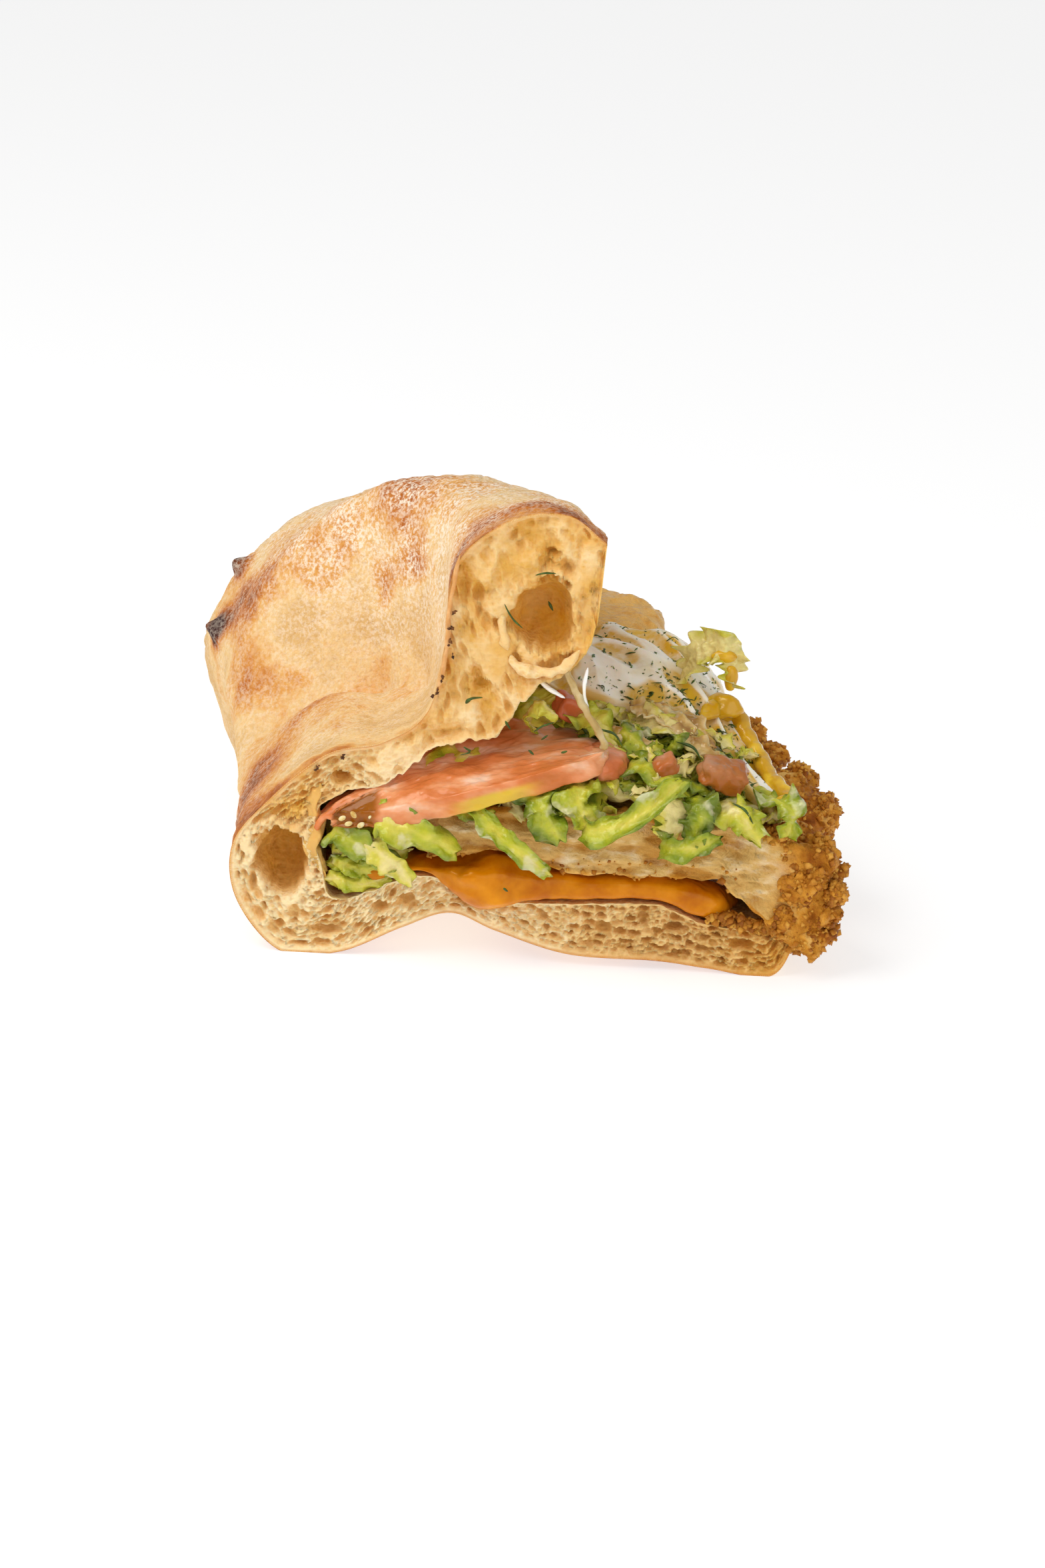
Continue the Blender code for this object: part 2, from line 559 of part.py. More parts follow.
def build_sauce(part, cutters):
    """The thick white herb sauce: a blanket draped over the heap."""
    return slab("herb_sauce", HERB_PLAN, heap_top, lambda x, y: heap_top(x, y) - 3.0, part,
                around=29, rings=(0.0, 0.45, 0.75, 0.92, 1.0), rough=0.7, seed=2.0)


def build_curry(part, cutters):
    """The yellow curry sauce: a thick ribbon with two drops, running down the heap's open side."""
    ribbon = rope("curry_sauce", CURRY_PATH, CURRY_RADII, part, sides=7, steps=16)
    tools = tool_collection("drops", cutters)
    for i, (x, y, z, *half) in enumerate(DROPS):
        ellipsoid(f"drop_{i}", (x, y, z), half, tools)
    apply_boolean(ribbon, "UNION", tools, cutters)
    return ribbon


def build_dice(part, name, centre, size, turn):
    """A tomato dice: a cube with rounded edges, turned as it fell."""
    bm = bmesh.new()
    bmesh.ops.create_cube(bm, size=1.0)
    bmesh.ops.bevel(bm, geom=bm.edges, offset=0.14, segments=1, affect="EDGES")
    mesh = bpy.data.meshes.new(name)
    bm.to_mesh(mesh)
    bm.free()
    obj = bpy.data.objects.new(name, mesh)
    obj.scale = [s * MM for s in size]
    obj.rotation_euler = [math.radians(a) for a in turn]
    obj.location = [c * MM for c in centre]
    part.objects.link(obj)
    bpy.context.view_layer.update()
    mesh.transform(obj.matrix_world)
    obj.scale = (1, 1, 1)
    obj.rotation_euler = (0, 0, 0)
    obj.location = (0, 0, 0)
    return obj


# Colour and roughness of each piece
FINISHES = {
    "bread": ((0.80, 0.62, 0.36), 0.75), "cheese": ((0.78, 0.35, 0.03), 0.3),
    "cutlet": ((0.55, 0.28, 0.09), 0.7), "cutlet_upper": ((0.68, 0.38, 0.05), 0.4),
    "tomato_slice": ((0.72, 0.22, 0.12), 0.3), "tomato_end": ((0.62, 0.12, 0.10), 0.3),
    "tomato_dice_1": ((0.66, 0.26, 0.12), 0.3), "tomato_dice_2": ((0.66, 0.22, 0.10), 0.3),
    "tomato_dice_3": ((0.50, 0.14, 0.10), 0.3), "lettuce": ((0.35, 0.55, 0.06), 0.4),
    "lettuce_leaf_top": ((0.62, 0.70, 0.25), 0.4), "herb_sauce": ((0.82, 0.80, 0.72), 0.35),
    "curry_sauce": ((0.68, 0.42, 0.02), 0.3), "onion_strand": ((0.72, 0.68, 0.42), 0.4),
}


def finish(obj):
    """Gives a piece its own material, moves it to the origin's frame and splits what isn't a triangle."""
    colour, roughness = FINISHES[obj.name]
    obj.data.materials.clear()
    obj.data.materials.append(new_material(obj.name, colour, roughness))
    obj.data.transform(Matrix.Translation((-CENTRE[0] * MM, -CENTRE[1] * MM, 0)))
    bm = bmesh.new()
    bm.from_mesh(obj.data)
    bmesh.ops.triangulate(bm, faces=bm.faces)
    bm.to_mesh(obj.data)
    bm.free()


def main():
    for obj in list(bpy.data.objects):
        bpy.data.objects.remove(obj)
    part = bpy.data.collections.new("cutlet_sandwich_half")
    cutters = bpy.data.collections.new("cutters")
    for collection in (part, cutters):
        bpy.context.scene.collection.children.link(collection)

    bread = build_roll(part, cutters)
    cutlet = build_cutlet(part, cutters)
    carve(cutlet, [bread], cutters)
    cheese = slab("cheese", CHEESE_PLAN, cheese_top, cheese_bottom, part, around=34, front=0.4, power=3.0,
                  rings=(0.0, 0.45, 0.75, 0.93, 1.0))
    carve(cheese, [bread, cutlet], cutters)
    tomato = slab("tomato_slice", TOMATO_PLAN, tomato_top, lambda x, y: tomato_top(x, y) - TOMATO_THICK, part,
                  around=26, rings=(0.0, 0.6, 0.88, 1.0), front=-3.0, power=3.0)
    carve(tomato, [bread, cutlet], cutters)
    end = slab("tomato_end", END_PLAN, lambda x, y: 52.5 - 0.1 * (x - 17), lambda x, y: 45.0, part, around=14,
               rings=(0.0, 0.55, 0.85, 1.0), power=3.0)
    carve(end, [tomato, bread], cutters)
    dice = [
        build_dice(part, "tomato_dice_1", (45, 0.5, 48.4), (10.5, 7.5, 6.4), (12, 18, 14)),
        build_dice(part, "tomato_dice_2", (32, 0.0, 50.0), (5.2, 4.6, 4.0), (20, -30, 10)),
        build_dice(part, "tomato_dice_3", (10, 14.5, 57.6), (8.0, 5.8, 5.2), (10, 25, 30)),
    ]
    upper = slab("cutlet_upper", UPPER_PLAN, lambda x, y: min(62.0, inner_height(x, y, True) - 1.2),
                 lambda x, y: 49.5, part, around=20, rings=(0.0, 0.6, 0.88, 1.0), rough=1.2, seed=7.0)
    salad = build_salad(part, cutters)
    carve(salad, [bread, cutlet, cheese, tomato, end, upper] + dice, cutters)
    herb = build_sauce(part, cutters)
    carve(herb, [bread, cutlet, tomato, end, upper, salad] + dice, cutters)
    curry = build_curry(part, cutters)
    path, width, hint = LEAF_TIP
    top_leaf = leaf("lettuce_leaf_top", path, width, hint, part, ruffle=1.6, waves=3.0, cup=0.8, steps=12)
    carve(curry, [salad, herb, cutlet] + dice, cutters)
    carve(top_leaf, [salad, herb, curry] + dice, cutters)
    strand = rope("onion_strand", STRAND_PATH, STRAND_RADII, part, sides=6, steps=8)
    carve(strand, [bread, end, tomato], cutters)

    for obj in part.objects:
        finish(obj)


main()
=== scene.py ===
"""Looks for one cut half of a crumbed cutlet sandwich in a folded, flour-dusted flat roll.

The shapes are worked out in millimetres of the cut's own frame: x runs from the fold to the open side,
y from the cut into the roll, z up from the surface that the half rests on. The section of the roll and
the paths of the shreds repeat those of the solids, so each piece keeps the form of what it replaces.
"""

import math

import bpy
import numpy as np
from mathutils import Matrix, Vector


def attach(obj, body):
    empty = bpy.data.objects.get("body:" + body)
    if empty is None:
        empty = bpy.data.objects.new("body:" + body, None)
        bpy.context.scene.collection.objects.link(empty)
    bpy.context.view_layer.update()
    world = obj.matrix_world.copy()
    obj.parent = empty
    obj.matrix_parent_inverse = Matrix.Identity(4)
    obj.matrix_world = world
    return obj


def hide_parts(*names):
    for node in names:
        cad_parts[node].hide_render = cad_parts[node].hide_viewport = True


bl_info = {
    "name": "Cutlet sandwich half",
    "version": (1, 0, 0),
    "blender": (4, 5, 0),
    "location": "View3D > Sidebar > Sandwich",
    "description": "Builds the bread, filling and sauces of a cut cutlet sandwich round its solids",
    "category": "Add Mesh",
}

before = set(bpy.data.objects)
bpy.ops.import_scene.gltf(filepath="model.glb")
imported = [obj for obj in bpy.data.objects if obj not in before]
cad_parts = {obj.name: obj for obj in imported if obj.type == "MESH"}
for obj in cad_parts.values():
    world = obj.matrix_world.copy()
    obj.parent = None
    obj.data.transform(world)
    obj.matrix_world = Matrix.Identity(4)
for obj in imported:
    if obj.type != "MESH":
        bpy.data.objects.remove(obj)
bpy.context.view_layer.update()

MM = 0.001
CENTRE = np.array((-3.4, 58.4, 0.0))    # middle of the sandwich in the cut's own frame

# Roll, as in the solids except for the slope of its crease
DEPTH = 130.0
END_START = 98.0                # depth at which the end begins to round off
END_CORE = (-20.0, 25.0)        # x, z that the end rounds towards
END_LEFT = 0.16                 # share of the section that is left at the very end
LEAN = (17.0, 105.0, 2.5)       # the roll leans to -X by this much at this depth, and the power it grows by
SOLE = 0.8                      # how far the bottom slice is pressed flat
# Stations of the cut section, from the bottom slice's edge round the fold to the lid's edge:
# outer x, z and inner x, z
CUT = (
    (64.4, 9.8, 64.4, 9.8), (59.0, 0.9, 56.0, 12.1), (44.6, 2.0, 43.5, 12.7), (32.6, 3.2, 31.8, 16.9),
    (12.5, 3.7, 11.9, 16.0), (-4.2, 8.5, -4.1, 16.2), (-14.9, 12.4, -14.6, 20.0),
    (-25.8, 8.2, -24.5, 20.7), (-39.8, 1.4, -36.4, 15.2), (-53.5, 0.9, -42.5, 14.8),
    (-63.7, 12.8, -44.4, 21.2), (-65.1, 26.2, -46.1, 28.0), (-57.5, 37.1, -45.4, 36.5),
    (-44.2, 49.2, -38.1, 41.3), (-31.7, 52.8, -29.9, 43.7), (-22.3, 60.3, -19.0, 52.2),
    (-18.9, 76.0, -6.4, 55.9), (-17.5, 94.6, -0.2, 65.3), (-6.6, 105.4, 7.7, 70.7),
    (6.5, 107.9, 14.0, 79.5), (15.9, 101.5, 15.9, 101.5),
)
LAST = len(CUT) - 1
FOLD = 10                       # station where the fold starts to rise
DOME = ((-16.5, 30.0), (50.0, 71.0), (36.0, 45.0))   # centre, outer and inner half-axes of the deep lid
DOME_TURNS = (214, 171, 151, 135, 120, 109, 100, 90, 79, 68, 56)   # where the stations lie on its arcs
LID_FALL = (48.0, 64.0, 0.25)   # the lid's height falls from this depth, over this length, by this share
DEEP_SLICE = (0.5, 13.0)        # under and upper side of the bottom slice at depth
# Depth at which each station starts to swell into the dome, and over what length
SWELL = {11: (48.0, 40.0), 12: (55.0, 25.0), 13: (52.0, 24.0), 14: (45.0, 27.0), 15: (29.0, 36.0),
         16: (10.0, 54.0), 17: (0.0, 66.0)}
RISE = 70.0                     # the same length for every other station
CREASE = 5.2                    # depth of the crease round the low lobe
CREASE_BAND = (13.7, 1.9)       # station at its middle and how many stations it fades over
CREASE_FALL = (6.0, 12.0)       # length of its slope towards the cut, 7.0 in the solids, and away from it

# Air pockets at the cut: x, z, half-width, half-height, depth
POCKETS = (
    (2.6, 83.2, 7.4, 8.0, 12.0), (4.0, 98.4, 2.2, 1.3, 5.0), (-53.4, 22.6, 6.4, 8.0, 13.0),
    (-41.0, 43.6, 2.8, 1.6, 5.0), (-31.0, 12.6, 2.4, 1.7, 4.0), (-25.0, 14.4, 2.2, 1.7, 4.0),
    (-54.2, 7.0, 1.9, 1.4, 4.0), (-43.5, 6.2, 5.2, 1.2, 4.0), (-60.2, 17.0, 1.2, 2.8, 4.0),
    (36.5, 11.2, 3.0, 1.1, 4.0), (52.2, 8.2, 3.4, 1.4, 4.0), (20.0, 10.6, 2.2, 1.2, 3.0),
    (-12.0, 88.0, 1.6, 3.0, 4.0), (-10.5, 67.0, 2.2, 1.6, 4.0),
)

LARGE_POCKET = 10.0             # above this depth the pocket's torn rim curls out of the cut
CURLED_OUT = 1.5                # how far those rims may stand out in front of it
# Pores from coarse to fine: length, height, depth, share of them kept, and how much shallower in the lid
PORES = ((3.4, 1.9, 2.8, 0.55, 0.5), (1.9, 1.15, 1.5, 0.75, 0.8), (1.15, 0.8, 0.8, 0.9, 0.85))
# Pockets whose walls took up sauce: x, z, half-width, half-height, strength
WET_POCKETS = ((2.6, 82.4, 7.6, 8.2, 1.0), (-53.4, 21.8, 6.6, 8.2, 0.55))

# Where the oven browned the crust: x, y, z, reach, strength. Above this strength it is charred and raised.
CHARRED_FROM = 1.0
BROWNED = (
    (-22, 52, 99, 13, 0.45), (-31, 57, 94, 9, 0.4), (-16, 26, 99, 9, 0.35), (-6, 9, 105, 9, 0.5),
    (6, 3, 107, 8, 0.7), (14, 4, 102, 6, 0.8), (-15, 6, 99, 6, 0.7), (-17, 0, 92, 5, 0.75),
    (-44, 66, 85, 9, 0.45), (-56, 74, 77, 9, 0.4), (-64, 82, 68, 8, 0.5), (-69, 84, 58, 7, 0.55),
    (-67, 67, 44, 8, 0.35), (-72, 74, 37, 9, 0.45), (-26, 43, 82, 3.5, 0.5), (-35, 54, 74, 4.5, 0.4),
    (-33, 54, 88, 3, 0.4), (-39, 47, 54, 5, 0.5), (-46, 45, 50, 6, 0.45), (-54, 41, 42, 8, 0.5),
    (-59, 30, 36, 8, 0.7), (-64, 18, 28, 9, 0.8), (-65, 2, 26, 9, 0.85), (-42, 1, 50, 2.2, 0.6),
    (-48, 1, 46, 2.6, 0.6), (-55, 1, 39, 3, 0.5), (-72, 91, 57, 4, 0.6), (-75, 90, 50, 4, 0.55),
    (-77, 94, 46, 3.2, 1.6), (-73, 101, 61, 3.4, 1.6),
)


def linear(code):
    """Linear red, green and blue of an sRGB hex code: the two-part sRGB curve undone."""
    parts = [int(code[i:i + 2], 16) / 255 for i in (1, 3, 5)]
    return tuple(c / 12.92 if c <= 0.04045 else ((c + 0.055) / 1.055) ** 2.4 for c in parts)


def rgba(value):
    """Four shader values from a hex code, a grey number or three linear values."""
    if isinstance(value, str):
        return (*linear(value), 1.0)
    if isinstance(value, (int, float)):
        return (value, value, value, 1.0)
    return (*value[:3], 1.0)


def smoothstep(x):
    """0 below 0, 1 above 1 and a smooth rise between."""
    x = np.clip(x, 0.0, 1.0)
    return x * x * (3.0 - 2.0 * x)


def unit(v):
    """The vectors divided by their lengths."""
    return v / np.maximum(np.linalg.norm(v, axis=-1, keepdims=True), 1e-9)


def spline(points, s):
    """Catmull-Rom curve through the points, with s running from 0 to 1 over them."""
    p = np.asarray(points, float)
    f = np.clip(np.asarray(s, float), 0.0, 1.0) * (len(p) - 1)
    i = np.minimum(f.astype(int), len(p) - 2)
    t = (f - i)[..., None]
    ext = np.vstack([2 * p[0] - p[1], p, 2 * p[-1] - p[-2]])
    a, b, c, d = ext[i], ext[i + 1], ext[i + 2], ext[i + 3]
    return b + 0.5 * t * (c - a + t * (2 * a - 5 * b + 4 * c - d + t * (3 * (b - c) + d - a)))


def hashed(cell, seed):
    """A number from 0 to 1 for each whole-number cell: coordinates times large primes, mixed by shifts."""
    c = cell.astype(np.int64)
    h = (c[..., 0] * 73856093) ^ (c[..., 1] * 19349663) ^ (c[..., 2] * 83492791) ^ (seed * 374761393)
    h = (h ^ ((h & 0xFFFFFFFF) >> 13)) * 1274126177
    h = (h ^ ((h & 0xFFFFFFFF) >> 16)) & 0xFFFFFF
    return h / 0xFFFFFF


def noise(p, seed=0):
    """Value noise from -1 to 1: the hashed numbers of a point's eight cell corners, blended smoothly."""
    base = np.floor(p).astype(np.int64)
    t = p - base
    t = t * t * (3 - 2 * t)
    total = 0.0
    for i in (0, 1):
        for j in (0, 1):
            for k in (0, 1):
                w = np.abs(1 - i - t[..., 0]) * np.abs(1 - j - t[..., 1]) * np.abs(1 - k - t[..., 2])
                total = total + w * hashed(base + (i, j, k), seed)
    return 2 * total - 1


def fractal(p, size, octaves=3, seed=0):
    """Noise of the given size in millimetres plus octaves of half the size and half the height."""
    total, scale, height = 0.0, 1.0 / size, 1.0
    for i in range(octaves):
        total = total + height * noise(p * scale, seed + i)
        scale, height = scale * 2.03, height * 0.5
    return total


def cells(p, seed=0):
    """Distance to the nearest of one jittered point in each unit cell, and that point's own number."""
    base = np.floor(p).astype(np.int64)
    best = np.full(p.shape[:-1], 9.0)
    number = np.zeros(p.shape[:-1])
    flat = np.ptp(p[..., 2]) == 0
    for i in (-1, 0, 1):
        for j in (-1, 0, 1):
            for k in ((0,) if flat else (-1, 0, 1)):
                cell = base + (i, j, k)
                jitter = np.stack([hashed(cell, seed + n) for n in (1, 2, 3)], -1)
                point = cell + 0.15 + 0.7 * jitter
                if flat:
                    point[..., 2] = p[..., 2]
                far = np.linalg.norm(p - point, axis=-1)
                near = far < best
                number = np.where(near, hashed(cell, seed + 4), number)
                best = np.minimum(best, far)
    return best, number


def stacked(*parts):
    """Coordinates of points from their parts, each spread over the shape that all have together."""
    return np.stack(np.broadcast_arrays(*parts), -1)


def nearness(points, place, reach):
    """1 at a place, falling softly to 0 beyond its reach."""
    return np.exp(-((points - place) ** 2).sum(-1) / reach ** 2)


def spot(x, z, middle_x, middle_z, wide, high):
    """A soft spot on the cut: 1 in its middle, 0 outside its half-axes."""
    return np.exp(-((x - middle_x) / wide) ** 2 - ((z - middle_z) / high) ** 2)


def lean(y):
    """The x that the roll has leaned to at depth y."""
    return -LEAN[0] * (np.clip(y, 0.0, LEAN[1]) / LEAN[1]) ** LEAN[2]


def deep_stations():
    """The section deep in the roll: a flat slice below, and two ellipse arcs for the domed lid."""
    rows = []
    centre, outer, inner = DOME
    for i, (ox, _, ix, _) in enumerate(CUT):
        if i < FOLD:
            edge = 1.0 if i == 0 else 0.0
            low, high = DEEP_SLICE
            rows.append((ox * 0.96, low + edge * 8.0, ix * 0.96 - 4.0 * (i > 7), high - edge * 4.1))
            continue
        turn = math.radians(DOME_TURNS[i - FOLD])
        arcs = []
        for half, slice_z in ((outer, DEEP_SLICE[0]), (inner, DEEP_SLICE[1])):
            tall = half[1] if turn < math.pi else centre[1] - slice_z
            arcs += [centre[0] + half[0] * math.cos(turn), centre[1] + tall * math.sin(turn)]
        if i == LAST:
            arcs[2:] = arcs[:2]
        rows.append(tuple(arcs))
    return rows


DEEP = deep_stations()


def swell(station, y):
    """How far a station has turned from the cut section to the deep one at depth y."""
    value = np.zeros(np.broadcast(station, y).shape)
    low = np.floor(station).astype(int)
    for offset in (0, 1):
        for i in range(len(CUT)):
            start, length = SWELL.get(i, (0.0, RISE))
            weight = (low + offset == i) * (1 - np.abs(station - i))
            value += weight * smoothstep((y - start) / length)
    return value


def lumps(x, y, z):
    """Slow swells of a hand-shaped crust: two products of sines, one millimetre high."""
    a = np.sin(0.21 * x + 0.9 + 1.3 * np.sin(0.09 * y)) * np.sin(0.17 * y + 0.4 * np.sin(0.13 * z))
    b = np.sin(0.37 * y + 0.23 * z + 2.0) * np.sin(0.31 * x - 0.19 * z + 0.7)
    return 0.62 * a + 0.38 * b


def roll_point(u, y, side):
    """A point of the roll's skin: u runs round the section, y is depth, side 0 outer or 1 inner.

    The cut section blends into the deep one, leans to -X, and shrinks towards a core at the far end.
    """
    u, y = np.broadcast_arrays(np.asarray(u, float), np.asarray(y, float))
    station = u * LAST
    pick = slice(2 * side, 2 * side + 2)
    cut = spline([row[pick] for row in CUT], u)
    deep = spline([row[pick] for row in DEEP], u)
    w = swell(station, y)[..., None]
    xz = cut * (1 - w) + deep * w
    x, z = xz[..., 0], xz[..., 1]
    if side == 0:
        start = np.interp(station, sorted(SWELL), [SWELL[i][0] for i in sorted(SWELL)])
        band = np.exp(-((station - CREASE_BAND[0]) / CREASE_BAND[1]) ** 4)
        past = y - start - 1.0
        z = z - CREASE * band * np.exp(-(past / np.where(past < 0, *CREASE_FALL)) ** 2)
        calm = smoothstep((z - 3.0) / 12.0) * smoothstep(y / 6.0) * smoothstep(np.minimum(u, 1 - u) * 14)
        bump = lumps(x, y, z) * calm
        x = x + 0.35 * bump
        z = z + bump
    turn = np.clip((y - END_START) / (DEPTH - END_START), 0.0, 1.0)
    s = END_LEFT + (1 - END_LEFT) * np.sqrt(np.clip(1 - turn ** 2.2, 0.0, 1.0))
    x = END_CORE[0] + (x - END_CORE[0]) * s + lean(y)
    depth, length, share = LID_FALL
    fall = 1 - share * smoothstep((y - depth) / length) * smoothstep((z - END_CORE[1]) / 30.0)
    z = END_CORE[1] + (z - END_CORE[1]) * s * fall
    return np.stack([x, y, np.maximum(z - SOLE, 0.0)], axis=-1)


def inner_table(upper):
    """Heights of the bottom slice's upper side or the lid's underside over a plan grid of 1 by 2 mm."""
    first, last = (FOLD + 1, LAST) if upper else (0, FOLD - 1)
    u = np.linspace(first, last, 60) / LAST
    rows = []
    for y in TABLE_Y:
        line = roll_point(u, y, 1)
        order = np.argsort(line[:, 0])
        rows.append(np.interp(TABLE_X, line[order, 0], line[order, 2]))
    return np.array(rows)


TABLE_STEP = 2.0
TABLE_X = np.arange(-90.0, 90.0, 1.0)
TABLE_Y = np.arange(0.0, 130.1, TABLE_STEP)
INNER_LOW, INNER_HIGH = inner_table(False), inner_table(True)


def inner_height(x, y, upper):
    """The height table read between its four nearest entries."""
    table = INNER_HIGH if upper else INNER_LOW
    fx = np.clip(np.asarray(x, float) - TABLE_X[0], 0, len(TABLE_X) - 1.001)
    fy = np.clip(np.asarray(y, float) / TABLE_STEP, 0, len(TABLE_Y) - 1.001)
    i, j = fx.astype(int), fy.astype(int)
    a, b = fx - i, fy - j
    top = table[j, i] * (1 - a) + table[j, i + 1] * a
    return top * (1 - b) + (table[j + 1, i] * (1 - a) + table[j + 1, i + 1] * a) * b


# Surfaces

def facing(points, triangles):
    """Turns the triangles outwards: a closed skin's signed volume is made positive."""
    a, b, c = (points[triangles[:, k]] for k in range(3))
    volume = np.einsum("ij,ij->i", a, np.cross(b, c)).sum()
    return triangles if volume > 0 else triangles[:, ::-1]


def skin(rings, *tones):
    """A closed skin whose rows are rings: quads between them cut in two, and a fan to each end's middle."""
    rows, cols = rings.shape[:2]
    grid = np.arange(rows * cols).reshape(rows, cols)
    turned = np.roll(grid, -1, axis=1)
    a, b, c, d = grid[:-1], turned[:-1], turned[1:], grid[1:]
    ends = np.full(cols, rows * cols), np.full(cols, rows * cols + 1)
    triangles = np.concatenate([
        np.stack([a, b, c], -1).reshape(-1, 3), np.stack([a, c, d], -1).reshape(-1, 3),
        np.stack([ends[0], turned[0], grid[0]], -1), np.stack([ends[1], grid[-1], turned[-1]], -1)])
    points = np.concatenate([rings.reshape(-1, 3), rings[:1].mean(1), rings[-1:].mean(1)])
    four = (*tones, *(0.0,) * (4 - len(tones)))
    tone = np.stack([np.broadcast_to(np.asarray(t, float), (rows, cols)) for t in four], -1)
    tone = np.concatenate([tone.reshape(-1, 4), tone[:1].mean(1), tone[-1:].mean(1)])
    return points, facing(points, triangles), tone


def joined(skins):
    """Several skins as one: their points, triangles and tones laid end to end."""
    start, points, triangles, tones = 0, [], [], []
    for p, t, c in skins:
        points.append(p)
        triangles.append(t + start)
        tones.append(c)
        start += len(p)
    return np.concatenate(points), np.concatenate(triangles), np.concatenate(tones)


def normals(rings):
    """Unit normals of a ring surface: the cross product of its two central differences, turned outwards."""
    along = np.gradient(rings, axis=0)
    round_ = np.roll(rings, -1, axis=1) - np.roll(rings, 1, axis=1)
    n = unit(np.cross(round_, along))
    out = rings - rings.reshape(-1, 3).mean(0)
    return n if (n * out).sum() > 0 else -n


def raised(rings, amount):
    """A ring surface moved along its own normals by an amount in millimetres at each point."""
    return rings + normals(rings) * amount[..., None]


def piece(name, skins, materials, replaced=(), face_material=None):
    """Puts skins into one mesh in the row frame, its tones as a colour attribute, and rides it on root."""
    points, triangles, tone = joined(skins)
    mesh = bpy.data.meshes.new(name)
    mesh.from_pydata((points - CENTRE) * MM, [], triangles)
    attribute = mesh.attributes.new("tone", "FLOAT_COLOR", "POINT")
    attribute.data.foreach_set("color", tone.astype(np.float32).ravel())
    for made in materials:
        mesh.materials.append(made)
    if face_material is not None:
        mesh.polygons.foreach_set("material_index", face_material(triangles, tone).astype(np.int32))
    mesh.shade_smooth()
    obj = bpy.data.objects.new(name, mesh)
    bpy.context.scene.collection.objects.link(obj)
    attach(obj, "root")
    if replaced:
        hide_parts(*replaced)
    return obj


def slab(outline, top, bottom, around, flat_rows, wall_rows, cut_line=None, edge_power=4.0):
    """A layer between two height functions in a plan outline: rings from its top's middle to its bottom's.

    A point of a square's upper, outer and lower side is drawn in to a superellipse of high power, which
    rounds the edge. Where the outline lies in front of the cut line the power is so high that the edge
    stays square.
    """
    line = spline(list(outline) + [outline[0]], np.arange(around) / around)
    centre = line.mean(axis=0)
    cut = np.zeros(around) if cut_line is None else smoothstep((cut_line - line[:, 1]) / 0.8 + 0.5)
    power = edge_power + 60.0 * cut
    flat = np.linspace(0, 1, flat_rows + 1)[1:] ** 0.75
    wall = np.linspace(1, -1, wall_rows + 2)[1:-1]
    a = np.concatenate([flat, np.ones(wall_rows), flat[::-1]])[:, None]
    b = np.concatenate([np.ones(flat_rows), wall, -np.ones(flat_rows)])[:, None]
    pull = (a ** power + np.abs(b) ** power) ** (-1 / power)
    a, b = a * pull, b * pull
    xy = centre + (line[None] - centre) * a[..., None]
    x, y = xy[..., 0], xy[..., 1]
    high, low = top(x, y), bottom(x, y)
    z = 0.5 * (high + low) + np.maximum(0.5 * (high - low), 0.3) * b
    return np.stack([x, y, z], -1), np.broadcast_to(a, x.shape), b, np.broadcast_to(cut[None], x.shape)


def leaf(path, width, hint, ruffle=1.2, waves=2.0, thick=0.42, cup=0.0, seed=0, steps=44, across=13,
         tone=0.5):
    """A thin wavy leaf: a crinkled sheet along a path, lifted by sines that grow towards its edges.

    It is thickest in its middle and thinnest at its edges. Its rings run over the upper side and back
    under it. The tones are the share across, the leaf's own tone and the veins, which are ridges.
    """
    hint = np.asarray(hint, float)
    s = np.linspace(0, 1, steps)
    mid = spline(path, s)
    tangent = unit(np.gradient(mid, axis=0))
    side = unit(hint - tangent * (tangent @ hint)[:, None])
    out = np.cross(tangent, side)
    grow = width * (0.55 + 0.45 * np.sin(math.pi * (0.12 + 0.8 * s)))
    grow *= np.minimum(1.0, 0.7 + 5.0 * np.minimum(s, 1 - s))
    w = np.linspace(-1, 1, across)
    w = np.concatenate([w, w[::-1]])
    upper = np.concatenate([np.ones(across), -np.ones(across)])
    s2, w2 = s[:, None], w[None, :]
    edge = np.abs(w2)
    wave = ruffle * edge ** 1.3 * np.sin(2 * math.pi * waves * s2 + 1.9 * w2 + seed)
    wave = wave + 0.85 * ruffle * edge ** 3 * np.sin(2 * math.pi * waves * 2.7 * s2 + 2.3 * seed - w2)
    wave = wave + (cup + 1.1 * math.sin(5.0 * seed + 1.0)) * w2 * w2
    ragged = 1 + 0.2 * np.sin(9.0 * s2 + seed + 3 * (w2 > 0)) + 0.14 * np.sin(23.0 * s2 + 2 * seed * w2)
    ragged = ragged + 0.3 * noise(stacked(14.0 * s2, 9.0 * (w2 > 0), float(seed)), 6)
    vein = 0.6 * np.cos(2 * math.pi * (s2 * 3.3 - 0.7 * edge) + seed) ** 10 * smoothstep(edge * 3)
    vein = vein + 0.6 * np.exp(-((w2 - 0.3 * math.sin(seed)) / 0.12) ** 2)
    depth = 0.5 * thick * (1.05 - 0.55 * edge ** 3 + 0.5 * np.exp(-(w2 / 0.2) ** 2)) * upper[None, :]
    rings = mid[:, None] + side[:, None] * (0.5 * w2 * grow[:, None] * ragged)[..., None]
    # the torn ends: each lane of the leaf stops a little earlier or later
    tear = 1.3 * noise(stacked(2.3 * w + seed, 0.0, 0.0), 5)
    rings = rings + tangent[:, None] * (tear[None, :] * (2 * s2 - 1) ** 5)[..., None]
    rings = rings + out[:, None] * (wave + depth + 0.25 * vein)[..., None]
    crinkle = 0.7 * noise(rings * 0.35 + seed) + 0.55 * noise(rings * 1.0 + seed)
    rings = rings + crinkle[..., None] * out[:, None]
    return skin(rings, edge, tone, vein)


